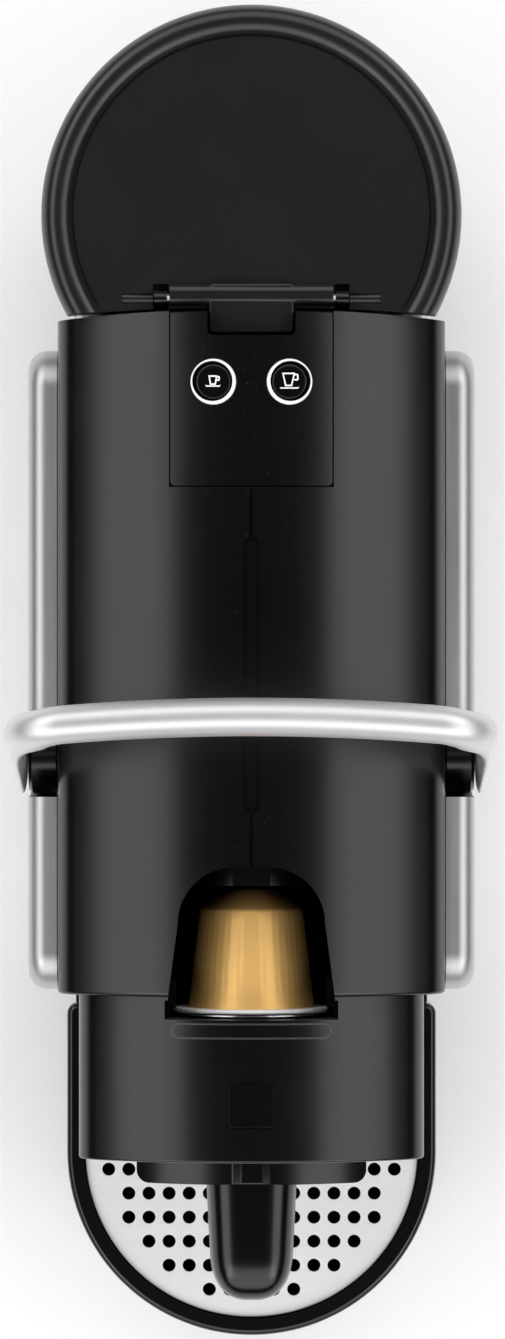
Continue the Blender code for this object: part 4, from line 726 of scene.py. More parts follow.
def slot_plan(grow=0.0):
    """The pod opening from above: a straight front, leaning sides and a broad round rear end."""
    sizes = settings().body
    front, rear = -sizes.slot_front - grow, -sizes.slot_rear + grow
    wide, narrow = sizes.slot_half + grow, sizes.slot_neck + grow
    ledge = sizes.ledge - grow
    bend = sizes.slot_bend + grow
    shoulder = rear - bend
    side = arc((narrow - bend, shoulder), bend, 0, 90, 16)
    right = [(wide, front), (wide, ledge), (wide - 0.7 * mm, ledge), *side]
    return [*right, *((-x, y) for x, y in reversed(right))]



def end_edges(bm, axis, place, tolerance=0.05 * mm):
    """The edges round one flat end of a prism."""
    return [
        e for e in bm.edges
        if all(abs(v.co[axis] - place) < tolerance for v in e.verts) and len(e.link_faces) == 2
    ]


def tray_plan(radius, back, steps=72):
    """Round at the front, with straight sides to a square back."""
    centre = -settings().tray.centre
    return [*arc((0, centre), radius, 180, 360, steps), (radius, back), (-radius, back)]


def tab_recess():
    """Room in the housing and control panel for the tank lid's finger tab."""
    sizes = settings().control
    low, _ = box_of("tank_lid")
    front = low.y - 0.8 * mm
    points = rounded(rectangle(-sizes.tab_half, front, sizes.tab_half, 110 * mm), 1.2 * mm)
    return prism(points, low.z - 0.7 * mm, OVERHEAD)


# ---- body -------------------------------------------------------------------------------------------
class COFFEE_OT_housing(Operator):
    """Makes the crowned housing with its pod opening, long groove and control recess"""

    bl_idname = "coffee.housing"
    bl_label = "Housing"

    def execute(self, context):
        sizes = settings().body
        low, high = box_of("housing")
        half, wall = high.x, sizes.wall
        section = tunnel(half, high.z, low.z, sizes.crown, sizes.shoulder)
        shell = prism(section, low.y, high.y + 2 * mm, "Y")
        plan = bowed_plan(half + 1 * mm, low.y - 1 * mm, high.y - sizes.bulge, sizes.bulge)
        shell = kept_to(shell, prism(plan, low.z - 1 * mm, high.z + 2 * mm))
        round_edges(shell, sizes.lip, 4, end_edges(shell, 1, low.y))
        inner = tunnel(half - wall, high.z - wall, low.z - 2 * mm, sizes.crown - wall, sizes.shoulder - wall)
        hollow = prism(inner, low.y + wall, high.y - sizes.bulge - wall, "Y")
        tray_low, tray_high = box_of("pod_container")
        front, back = low.y - 2 * mm, low.y + wall + 2 * mm
        mouth = tray_high.x + 2 * mm
        frame_low, frame_high = box_of("brew_frame")
        control = settings().control
        panel_low, _ = box_of("control_panel")
        hub_low, hub_high = box_of("lever_hub_right")
        hub = ((hub_low.y + hub_high.y) / 2, (hub_low.z + hub_high.z) / 2)
        line = sizes.line / 2
        groove_half = sizes.groove / 2
        groove = rounded(rectangle(-groove_half, GROOVE_FRONT, groove_half, GROOVE_REAR), groove_half * 0.98)
        deep = high.z - 1.2 * mm
        shell = cut(
            shell, hollow,
            block((-mouth, front, low.z - 2 * mm), (mouth, back, tray_high.z + 4 * mm)),
            block((frame_low.x - 1 * mm, front, 156 * mm), (frame_high.x + 1 * mm, back, high.z - 8.5 * mm)),
            prism(slot_plan(), 205 * mm, high.z + 5 * mm),
            block((-control.half, control.front, panel_low.z - 0.3 * mm),
                  (control.half, high.y + 3 * mm, OVERHEAD)),
            tab_recess(),
            cylinder(hub, 5.6 * mm, -60 * mm, 60 * mm, "X", 32),
            prism(groove, deep, high.z + 2 * mm),
            block((-line, GROOVE_REAR - groove_half, deep + 0.5 * mm),
                  (line, control.front - 0.4 * mm, OVERHEAD)),
            block((-line, -sizes.slot_rear - 1 * mm, deep + 0.5 * mm),
                  (line, GROOVE_FRONT + groove_half, OVERHEAD)),
        )
        finished(shell, "housing_shell", satin_black(), "machine", ["housing"])
        return {"FINISHED"}


class COFFEE_OT_head(Operator):
    """Makes the narrower head over the cup space, with its blank inlay and lip"""

    bl_idname = "coffee.head"
    bl_label = "Head"

    def execute(self, context):
        sizes = settings().body
        low, high = box_of("head_cover")
        wall = sizes.wall
        section = tunnel(high.x, high.z, low.z, sizes.head_crown, sizes.shoulder)
        shell = prism(section, low.y, high.y, "Y")
        front = end_edges(shell, 1, low.y)
        sides = [e for e in shell.edges if all(abs(v.co.z - low.z) < 0.01 * mm for v in e.verts)]
        round_edges(shell, 0.6 * mm, 4, list({*front, *sides}))
        inner = tunnel(
            high.x - wall, high.z - wall, low.z + wall, sizes.head_crown - wall, sizes.shoulder - wall)
        inlay = rectangle(-5.4 * mm, INLAY_FRONT - 0.2 * mm, 5.4 * mm, INLAY_REAR + 0.2 * mm)
        inlay = rounded(inlay, 0.8 * mm)
        shell = cut(
            shell,
            prism(inner, low.y + wall, high.y + 5 * mm, "Y"),
            prism(slot_plan(), 205 * mm, high.z + 8 * mm),
            cylinder((0, DUCT_Y), 3.9 * mm, low.z - 3 * mm, low.z + wall + 2 * mm, "Z", 32),
            prism(inlay, high.z - 0.9 * mm, high.z + 3 * mm),
        )
        finished(shell, "head_shell", satin_black(), "machine", ["head_cover"])
        plate = rounded(rectangle(-5.2 * mm, INLAY_FRONT, 5.2 * mm, INLAY_REAR), 0.7 * mm)
        tile = prism(plate, high.z - 0.85 * mm, high.z - 0.35 * mm)
        round_edges(tile, 0.12 * mm, 2)
        self.outline(high.z)
        finished(tile, "head_inlay", gloss_black(), "machine")
        return {"FINISHED"}

    def outline(self, top):
        """A blank pill-shaped outline that stands a hair proud of the crown, in front of the opening."""
        sizes = settings().body
        half, tall, line = sizes.label, sizes.label_height / 2, sizes.label_line
        y = -sizes.slot_front - sizes.label_gap
        outer = rounded(rectangle(-half, y - tall, half, y + tall), tall * 0.98, 8)
        inner = rounded(
            rectangle(-half + line, y - tall + line, half - line, y + tall - line), tall * 0.98 - line, 8)
        skin = kept_to(
            prism(tunnel(45 * mm, top + 0.03 * mm, top - 30 * mm, sizes.head_crown, sizes.shoulder),
                  -90 * mm, -70 * mm, "Y"),
            prism(outer, top - 12 * mm, top + 2 * mm))
        core = prism(tunnel(44 * mm, top - 0.25 * mm, top - 40 * mm, sizes.head_crown, sizes.shoulder),
                     -95 * mm, -65 * mm, "Y")
        skin = cut(skin, core, prism(inner, top - 20 * mm, top + 4 * mm))
        ink = moulded("label_ink", tuple(settings().finish.ink), 0.34, 0.42, 1800.0, 0.02, 0.0, 0.05)
        finished(skin, "head_outline", ink, "machine")


class COFFEE_OT_side_panels(Operator):
    """Makes the two brushed aluminium side panels with their rolled edges and lever notches"""

    bl_idname = "coffee.side_panels"
    bl_label = "Side panels"

    def execute(self, context):
        finish = settings().finish
        metal = brushed("brushed_panel", tuple(finish.panel), (30.0, 0.5, 30.0), 0.36, 0.50, 40.0, 0.14)
        hub_low, hub_high = box_of("lever_hub_right")
        pivot = ((hub_low.y + hub_high.y) / 2, (hub_low.z + hub_high.z) / 2)
        notch = (hub_high.z - hub_low.z) / 2 + 0.6 * mm
        for side, word in SIDES:
            low, high = box_of(f"side_panel_{word}")
            outer = high.x if side > 0 else low.x
            plate = prism(rounded(rectangle(low.y, low.z, high.y, high.z), 9 * mm, 12), low.x, high.x, "X")
            round_edges(plate, settings().body.roll, 9, end_edges(plate, 0, outer))
            skin = 1.5 * mm
            hollow = rounded(
                rectangle(low.y + skin, low.z + skin, high.y - skin, high.z - skin), 7.5 * mm, 12
            )
            near, far = sorted((side * (abs(outer) - skin - 0.6 * mm), side * 40 * mm))
            reach = (min(low.x, high.x) - 2 * mm, max(low.x, high.x) + 2 * mm)
            mouth = [*arc(pivot, notch, 180, 360, 32), (pivot[0] + notch, high.z + 5 * mm),
                     (pivot[0] - notch, high.z + 5 * mm)]
            plate = cut(plate, prism(hollow, near, far, "X"), prism(mouth, *reach, "X"))
            finished(plate, f"panel_{word}", metal, "machine", [f"side_panel_{word}"])
        return {"FINISHED"}


# ---- controls ---------------------------------------------------------------------------------------
def cup_icon(centre, size, slim, z):
    """A generic tall cup in outline, with a square handle and a saucer line, as thin flat pieces."""
    x, y = centre
    line, high = settings().control.stroke, z + 0.06 * mm
    top, foot, tall = size / 2, size / 2 * slim, size * 1.04
    outer = [(x - foot, y), (x + foot, y), (x + top, y + tall), (x - top, y + tall)]
    inner = [(x - foot + line * 0.8, y + line), (x + foot - line * 0.8, y + line),
             (x + top - line * 1.1, y + tall - line), (x - top + line * 1.1, y + tall - line)]
    cup = cut(prism(outer, z, high), prism(inner, z - 1 * mm, z + 1 * mm))
    near, reach, low = x + top - line, x + top + size * 0.26, y + tall * 0.42
    loop = prism(rounded(rectangle(near, low, reach, y + tall * 0.92), size * 0.12, 4), z, high)
    gap = rounded(rectangle(near - line, low + line, reach - line, y + tall * 0.92 - line), size * 0.05, 4)
    body = prism(outer, z - 1 * mm, z + 1 * mm)
    handle = cut(loop, prism(gap, z - 1 * mm, z + 1 * mm), body)
    rest = y - size * 0.14
    saucer = [(x - size * 0.86, rest + line * 0.9), (x - size * 0.72, rest - line * 0.4)]
    saucer += [(x + size * 0.72, rest - line * 0.4), (x + size * 0.86, rest + line * 0.9)]
    saucer += [(x + size * 0.68, rest + line * 0.5), (x - size * 0.68, rest + line * 0.5)]
    return cup, handle, prism(saucer, z, high)


def merged(parts):
    """Several closed shapes in one mesh."""
    whole = bmesh.new()
    for part in parts:
        mesh = bpy.data.meshes.new("part")
        part.to_mesh(mesh)
        part.free()
        whole.from_mesh(mesh)
        bpy.data.meshes.remove(mesh)
    return whole


class COFFEE_OT_controls(Operator):
    """Makes the control panel, the two buttons with their light rings and cup icons"""

    bl_idname = "coffee.controls"
    bl_label = "Controls"

    def execute(self, context):
        sizes, body = settings().control, settings().body
        low, high = box_of("control_panel")
        _, shell_high = box_of("housing")
        section = tunnel(shell_high.x, shell_high.z, 195 * mm, body.crown, body.shoulder)
        panel = prism(section, low.y, high.y + 2 * mm, "Y")
        plan = bowed_plan(shell_high.x, low.y - 1 * mm, high.y - body.bulge, body.bulge)
        panel = kept_to(
            panel, prism(plan, low.z - 1 * mm, high.z + 2 * mm),
            prism(rounded(rectangle(low.x, low.y, high.x, high.y + 5 * mm), 1.0 * mm, 5),
                  low.z, high.z + 2 * mm),
        )
        holes = []
        for name in ("espresso", "lungo"):
            ring_low, ring_high = box_of(f"{name}_light_ring")
            centre = ((ring_low.x + ring_high.x) / 2, (ring_low.y + ring_high.y) / 2)
            holes.append(cylinder(
                centre, (ring_high.x - ring_low.x) / 2 + 0.15 * mm, 200 * mm, OVERHEAD, "Z", 64))
        panel = cut(panel, tab_recess(), *holes)
        finished(
            panel, "control_plate", satin_black(), "machine", ["control_panel"], 0.25 * mm)

        lit = moulded("light_ring", (0.82, 0.82, 0.83), 0.25, 0.35, 1200.0, 0.02, 0.2, 0.2)
        paint = moulded("icon_paint", (0.80, 0.80, 0.80), 0.35, 0.45, 1800.0, 0.02, 0.0, 0.1)
        for name, scale, slim in (("espresso", 0.70, 0.66), ("lungo", 1.0, 0.54)):
            ring_low, ring_high = box_of(f"{name}_light_ring")
            cap_low, cap_high = box_of(f"{name}_button")
            centre = ((ring_low.x + ring_high.x) / 2, (ring_low.y + ring_high.y) / 2)
            side = math.copysign(1, centre[0])
            outer = (ring_high.x - ring_low.x) / 2
            radius = (cap_high.x - cap_low.x) / 2
            ring = cylinder(centre, outer, ring_low.z, ring_high.z, "Z", 96)
            round_edges(ring, 0.25 * mm, 3, end_edges(ring, 2, ring_high.z))
            aside = (centre[0] + side * sizes.offset, centre[1] + sizes.offset * 0.6)
            ring = cut(ring, cylinder(aside, sizes.ring, ring_low.z - 1 * mm, ring_high.z + 1 * mm, "Z", 96))
            finished(ring, f"{name}_ring", lit, "machine", [f"{name}_light_ring"], 0.12 * mm)
            dish = [(0, cap_low.z), (radius, cap_low.z), (radius, cap_high.z - 0.5 * mm)]
            dish += [(radius - 0.15 * mm, cap_high.z - 0.12 * mm), (radius - 0.5 * mm, cap_high.z)]
            dish += [(radius * 0.6, cap_high.z - 0.12 * mm), (0, cap_high.z - 0.18 * mm)]
            cap = turned(dish, centre)
            finished(cap, f"{name}_cap", gloss_black(), name, [f"{name}_button"])
            size = sizes.icon * scale
            place = (centre[0] - size * 0.06, centre[1] - size * 0.36)
            icon = merged(cup_icon(place, size, slim, cap_high.z - 0.16 * mm))
            finished(icon, f"{name}_icon", paint, name)
            seat = cylinder(centre, outer - 0.35 * mm, ring_low.z - 0.4 * mm, ring_low.z + 0.2 * mm, "Z", 64)
            seat = cut(seat, cylinder(centre, radius + 0.25 * mm, 200 * mm, OVERHEAD, "Z", 64))
            finished(seat, f"{name}_seat", gloss_black(), "machine")
        return {"FINISHED"}


# ---- lever ------------------------------------------------------------------------------------------
class COFFEE_OT_lever(Operator):
    """Makes the chrome lever, a bowed U with soft edges, and its two black hubs"""

    bl_idname = "coffee.lever"
    bl_label = "Lever"

    def execute(self, context):
        sizes = settings().lever
        low, high = box_of("lever_handle")
        hub_low, hub_high = box_of("lever_hub_right")
        pivot = Vector((0, (hub_low.y + hub_high.y) / 2, (hub_low.z + hub_high.z) / 2))
        boss = (hub_high.z - hub_low.z) / 2
        outer = high.x
        top = pivot.z + sizes.reach
        bow = self.loft(self.stations(pivot, outer, top, boss))
        turn = Matrix.Translation(pivot) @ Matrix.Rotation(-sizes.lean, 4, "X") @ Matrix.Translation(-pivot)
        bmesh.ops.transform(bow, matrix=turn, verts=bow.verts)
        finished(bow, "lever_bow", satin_chrome(), "lever", ["lever_handle"], smooth=50)
        for side_sign, word in SIDES:
            near, far = box_of(f"lever_hub_{word}")
            inside, outside = sorted((near.x, far.x), key=abs)
            profile = [(5.2 * mm, inside), (boss - 0.4 * mm, inside), (boss, inside + side_sign * 0.4 * mm),
                       (boss, outside - side_sign * 0.8 * mm), (boss - 0.8 * mm, outside),
                       (5.2 * mm, outside), (5.2 * mm, inside)]
            hub = turned(profile, (pivot.y, pivot.z), "X")
            finished(hub, f"hub_{word}", satin_black(), "lever", [f"lever_hub_{word}"])
        return {"FINISHED"}

    def stations(self, pivot, outer, top, boss):
        """Sections along the lever: centre, inward direction, thickness and width, from hub to hub."""
        sizes = settings().lever
        thin, thick, bend = sizes.arm, sizes.bar, sizes.bend
        wide, slim, rise = boss * 2, sizes.depth, top - bend - pivot.z
        found = []
        for i in range(13):
            t = i / 12
            ease = min(1.0, t * 1.25) ** 0.7
            width = wide + (slim - wide) * ease
            height = pivot.z - 0.2 * boss + (rise + 0.2 * boss) * t
            found.append((outer, height, 0.0, thin + (thick - thin) * t**6, width))
        for i in range(1, 17):
            a = math.radians(90 * i / 16)
            found.append((outer - bend + bend * math.cos(a), top - bend + bend * math.sin(a), a, thick, slim))
        span = outer - bend
        for i in range(1, 12):
            found.append((span * (1 - i / 12), top, math.pi / 2, thick, slim))
        left = [(-x, z, math.pi - a, deep, wide_) for x, z, a, deep, wide_ in reversed(found)]
        every = found + [(0.0, top, math.pi / 2, thick, slim)] + left
        sections = []
        for x, z, a, deep, width in every:
            lift = max(0.0, (z - pivot.z) / sizes.reach)
            y = pivot.y + sizes.bow * (1 - (x / outer) ** 2) * lift**2
            out = Vector((math.cos(a), 0, math.sin(a)))
            sections.append((Vector((x, y, z)) - out * (deep / 2), out, deep / 2, width / 2))
        return sections

    def loft(self, sections, steps=32, power=2.15):
        """A skin over rounded sections; each is a superellipse across the lever's path."""
        bm = bmesh.new()
        rings = []
        for centre, out, deep, wide in sections:
            ring = []
            for i in range(steps):
                a = 2 * math.pi * i / steps
                c, d = math.cos(a), math.sin(a)
                u = math.copysign(abs(c) ** (2 / power), c) * deep
                v = math.copysign(abs(d) ** (2 / power), d) * wide
                ring.append(bm.verts.new(centre + out * u + Vector((0, v, 0))))
            rings.append(ring)
        for one, two in zip(rings, rings[1:]):
            for i in range(steps):
                j = (i + 1) % steps
                bm.faces.new((one[i], one[j], two[j], two[i]))
        bm.faces.new(rings[0])
        bm.faces.new(rings[-1])
        bmesh.ops.recalc_face_normals(bm, faces=bm.faces)
        return bm


# ---- water tank ---------------------------------------------------------------------------------------
class COFFEE_OT_tank(Operator):
    """Makes the clear water tank with its flat front and hinge ears"""

    bl_idname = "coffee.tank"
    bl_label = "Water tank"

    def execute(self, context):
        sizes = settings().tank
        low, high = box_of("water_tank")
        lid_low, lid_high = box_of("tank_lid")
        pin_low, pin_high = box_of("lid_hinge_pin")
        centre = (0, sizes.centre)
        radius = high.x
        rim = lid_low.z - 1 * mm
        drop = math.degrees(math.asin((sizes.centre - low.y) / radius))
        plan = arc(centre, radius, -drop, 180 + drop, 96)
        shell = prism(plan, low.z, rim)
        upright = [
            e for e in shell.edges
            if abs(e.verts[0].co.z - e.verts[1].co.z) > 50 * mm and abs(e.verts[0].co.y - low.y) < 0.1 * mm
        ]
        round_edges(shell, 3 * mm, 6, upright)
        round_edges(shell, 2 * mm, 5, end_edges(shell, 2, low.z))
        pin = ((pin_low.y + pin_high.y) / 2, (pin_low.z + pin_high.z) / 2)
        for side, word in SIDES:
            near, far = sorted((side * (pin_high.x - 3 * mm), side * pin_high.x))
            ear = [(low.y, rim + 0.2 * mm), (low.y + 3.6 * mm, rim + 0.2 * mm),
                   *arc(pin, 1.65 * mm, 0, 180, 16)]
            bore = cylinder(pin, 1.1 * mm, near - 1 * mm, far + 1 * mm, "X", 20)
            ear = cut(prism(ear, near, far, "X"), bore)
            finished(ear, f"tank_ear_{word}", satin_black(), "tank")
        wall = sizes.wall
        inner_radius = radius - wall
        flat = low.y + wall + 1.5 * mm
        drop = math.degrees(math.asin((sizes.centre - flat) / inner_radius))
        hollow = prism(arc(centre, inner_radius, -drop, 180 + drop, 96), low.z + wall, rim + 20 * mm)
        shell = cut(shell, hollow, cylinder(centre, 3.8 * mm, low.z - 2 * mm, low.z + 10 * mm, "Z", 32))
        shell_piece = finished(
            shell, "tank_shell", smoked_plastic(), "tank", ["water_tank"], 0.35 * mm
        )
        shell_piece.modifiers["soft edges"].use_clamp_overlap = False
        return {"FINISHED"}


class COFFEE_OT_lid(Operator):
    """Makes the round tank lid with its raised ring, sunken middle, hinge band and finger tab"""

    bl_idname = "coffee.lid"
    bl_label = "Tank lid"

    def execute(self, context):
        sizes = settings().tank
        low, high = box_of("tank_lid")
        pin_low, pin_high = box_of("lid_hinge_pin")
        axis_y, axis_z = (pin_low.y + pin_high.y) / 2, (pin_low.z + pin_high.z) / 2
        centre, top, outer = (0, sizes.centre), high.z, high.x
        recess, floor = sizes.recess, top - sizes.sunk
        crest = outer - sizes.crest
        profile = [(0, floor), (recess - 0.5 * mm, floor), (recess - 0.35 * mm, floor - 0.3 * mm)]
        profile += [(recess - 0.1 * mm, floor - 0.3 * mm), (recess, floor + 0.2 * mm)]
        for i in range(1, 13):
            a = math.pi / 2 * i / 12
            profile.append((crest - (crest - recess) * math.cos(a), floor + 0.2 * mm
                            + (top - floor - 0.2 * mm) * math.sin(a)))
        for i in range(1, 17):
            a = math.pi / 2 * i / 16
            profile.append((crest + (outer - crest) * math.sin(a), top - 5.2 * mm * (1 - math.cos(a))))
        profile += [(outer - 0.3 * mm, low.z), (outer - 2.2 * mm, low.z), (outer - 2.4 * mm, top - 5.4 * mm)]
        profile += [(recess, floor - 2.2 * mm), (0, floor - 2.2 * mm)]
        shell = turned(profile[::-1], centre, "Z", 160)
        front = axis_y - 0.6 * mm
        shell = kept_to(shell, prism(self.behind_housing(0.8 * mm), 0, OVERHEAD))
        skirt = kept_to(
            prism(self.behind_housing(0.87 * mm, 2.0 * mm), low.z + 0.04 * mm, floor - 0.05 * mm),
            cylinder(centre, outer - 1.6 * mm, low.z - 1 * mm, OVERHEAD, "Z", 120))
        band = rounded(
            rectangle(axis_y - 1.7 * mm, axis_z - 2.6 * mm, front + 3.9 * mm, top - 0.5 * mm), 1.9 * mm, 8)
        band = prism(band, -sizes.band, sizes.band, "X")
        tab = prism(
            rounded(rectangle(-9.8 * mm, low.y, 9.8 * mm, front + 4 * mm), 1.0 * mm, 5),
            axis_z - 0.4 * mm, axis_z + 1.4 * mm)
        round_edges(tab, 0.5 * mm, 3, end_edges(tab, 2, axis_z + 1.4 * mm))
        shell = joined(shell, skirt, band, tab)
        notches = []
        for side in (-1, 1):
            near, far = sorted((side * (pin_high.x - 3.3 * mm), side * (pin_high.x + 0.3 * mm)))
            notches.append(block((near, front - 4 * mm, 200 * mm), (far, front + 4.0 * mm, OVERHEAD)))
        shell = cut(shell, *notches, cylinder((axis_y, axis_z), 1.3 * mm, -30 * mm, 30 * mm, "X", 20))
        finished(shell, "lid_shell", charcoal(), "lid", ["tank_lid"])
        return {"FINISHED"}

    def behind_housing(self, clearance, depth=110 * mm):
        """Plan of a band that follows the bowed rear of the housing, which it clears."""
        bulge = settings().body.bulge
        _, high = box_of("housing")
        near = high.y - bulge + clearance
        bow = [(high.x * t, near + bulge * (1 - t * t)) for t in (1 - i / 12 for i in range(25))]
        if depth > 50 * mm:
            wide = high.x + 30 * mm
            return [*bow, (-wide, near), (-wide, near + depth), (wide, near + depth), (wide, near)]
        return [*bow, *((x, y + depth) for x, y in reversed(bow))]


# ---- tray, support, grid and outlet ---------------------------------------------------------------------
class COFFEE_OT_tray(Operator):
    """Makes the drip tray and the used-pod container that stands behind it"""

    bl_idname = "coffee.tray"
    bl_label = "Drip tray"

    def execute(self, context):
        low, high = box_of("drip_tray")
        tub_low, tub_high = box_of("pod_container")
        fold_low, fold_high = box_of("fold_pin_right")
        fold = ((fold_low.y + fold_high.y) / 2, (fold_low.z + fold_high.z) / 2)
        support_low, _ = box_of("cup_support")
        top = support_low.z - 0.5 * mm
        back = tub_low.y - 0.4 * mm
        outer = high.x
        shell = prism(tray_plan(outer, back), low.z, top)
        round_edges(shell, 3.0 * mm, 6, end_edges(shell, 2, low.z))
        shelf_top = tub_low.z - 0.3 * mm
        shell = joined(shell, block((-tub_high.x, back - 1 * mm, shelf_top - 2.2 * mm),
                                    (tub_high.x, high.y, shelf_top)))
        hollow = prism(tray_plan(outer - 2.2 * mm, back - 2.2 * mm), low.z + 2.2 * mm, 60 * mm)
        step = block((-60 * mm, fold[0] - 9 * mm, top - 1.7 * mm), (60 * mm, back + 1 * mm, 60 * mm))
        shell = cut(shell, hollow, step)
        lugs, holes = [], []
        lug_near = fold_low.x - 0.6 * mm
        for side in (-1, 1):
            near, far = sorted((side * lug_near, side * (lug_near + 7.4 * mm)))
            rear = back - 0.4 * mm
            outline = [(fold[0] - 3 * mm, 30 * mm), (rear, 30 * mm), (rear, fold[1] - 3 * mm)]
            lugs.append(prism(outline + arc(fold, 3 * mm, 0, 180, 16), near, far, "X"))
            holes.append(cylinder(fold, 1.6 * mm, near - 1 * mm, far + 1 * mm, "X", 24))
        shell = cut(joined(shell, *lugs), *holes)
        finished(shell, "tray_shell", satin_black(), "module", ["drip_tray"], 0.3 * mm)

        tub = rounded(rectangle(tub_low.x, tub_low.y, tub_high.x, tub_high.y), 5 * mm, 8)
        tub = prism(tub, tub_low.z, tub_high.z)
        round_edges(tub, 1.5 * mm, 4, end_edges(tub, 2, tub_low.z))
        wall = 1.8 * mm
        inner = rounded(
            rectangle(tub_low.x + wall, tub_low.y + wall, tub_high.x - wall, tub_high.y - wall), 3.2 * mm, 8)
        tub = cut(tub, prism(inner, tub_low.z + wall, tub_high.z + 5 * mm))
        finished(
            tub, "container_shell", satin_black(), "module", ["pod_container"], 0.35 * mm)
        return {"FINISHED"}


class COFFEE_OT_support(Operator):
    """Makes the fold-up cup support and the perforated steel grid that lies in it"""

    bl_idname = "coffee.support"
    bl_label = "Cup support"

    def execute(self, context):
        sizes = settings().tray
        low, high = box_of("cup_support")
        grid_low, grid_high = box_of("drip_grid")
        fold_low, fold_high = box_of("fold_pin_right")
        fold = ((fold_low.y + fold_high.y) / 2, (fold_low.z + fold_high.z) / 2)
        opening = grid_high.x + 0.3 * mm
        rim = high.x - opening
        back = grid_high.y + 0.3 * mm + rim
        ring = prism(tray_plan(high.x, back, 96), low.z, high.z)
        uprights = [e for e in ring.edges if abs(e.verts[0].co.y - back) < 0.01 * mm
                    and abs(e.verts[1].co.y - back) < 0.01 * mm
                    and abs(e.verts[0].co.z - e.verts[1].co.z) > 5 * mm]
        round_edges(ring, 2.5 * mm, 6, uprights)
        rims = end_edges(ring, 2, low.z) + end_edges(ring, 2, high.z)
        round_edges(ring, 1.5 * mm, 5, rims)
        ledge = 2 * mm
        ring = cut(
            ring, prism(tray_plan(opening, back - rim, 96), grid_low.z - 0.3 * mm, 60 * mm),
            prism(tray_plan(opening - ledge, back - rim - ledge, 96), 30 * mm, 60 * mm))
        arms, holes = [], []
        arm_near = fold_high.x - 7.4 * mm
        for side in (-1, 1):
            near, far = sorted((side * arm_near, side * (arm_near + 8.0 * mm)))
            outline = [(back - 1 * mm, fold[1] - 3 * mm), *arc(fold, 3 * mm, -90, 90, 16)]
            arms.append(prism([*outline, (back - 1 * mm, fold[1] + 3 * mm)], near, far, "X"))
            holes.append(cylinder(fold, 1.6 * mm, near - 1 * mm, far + 1 * mm, "X", 24))
        ring = cut(joined(ring, *arms), *holes)
        finished(ring, "support_ring", gloss_black(), "support", ["cup_support"])

        plate = prism(tray_plan(opening - 0.3 * mm, grid_high.y, 96), grid_low.z, grid_high.z)
        round_edges(plate, 0.3 * mm, 3, end_edges(plate, 2, grid_high.z))
        drills = []
        columns = 1 + int((sizes.field - sizes.first_x) / sizes.pitch_x)
        for row in range(sizes.rows):
            y = FIRST_ROW + row * sizes.pitch_y
            for column in range(columns):
                x = sizes.first_x + column * sizes.pitch_x
                if math.hypot(x, min(y + sizes.centre, 0)) < sizes.field:
                    for side in (-1, 1):
                        drills.append(cylinder(
                            (side * x, y), sizes.hole, grid_low.z - 1 * mm, 60 * mm, "Z", 20))
        plate = cut(plate, merged(drills))
        steel = brushed(
            "grid_steel", tuple(settings().finish.grid), (1.0, 26.0, 26.0), 0.50, 0.62, 60.0, 0.06)
        finished(plate, "grid_plate", steel, "grid", ["drip_grid"])
        return {"FINISHED"}


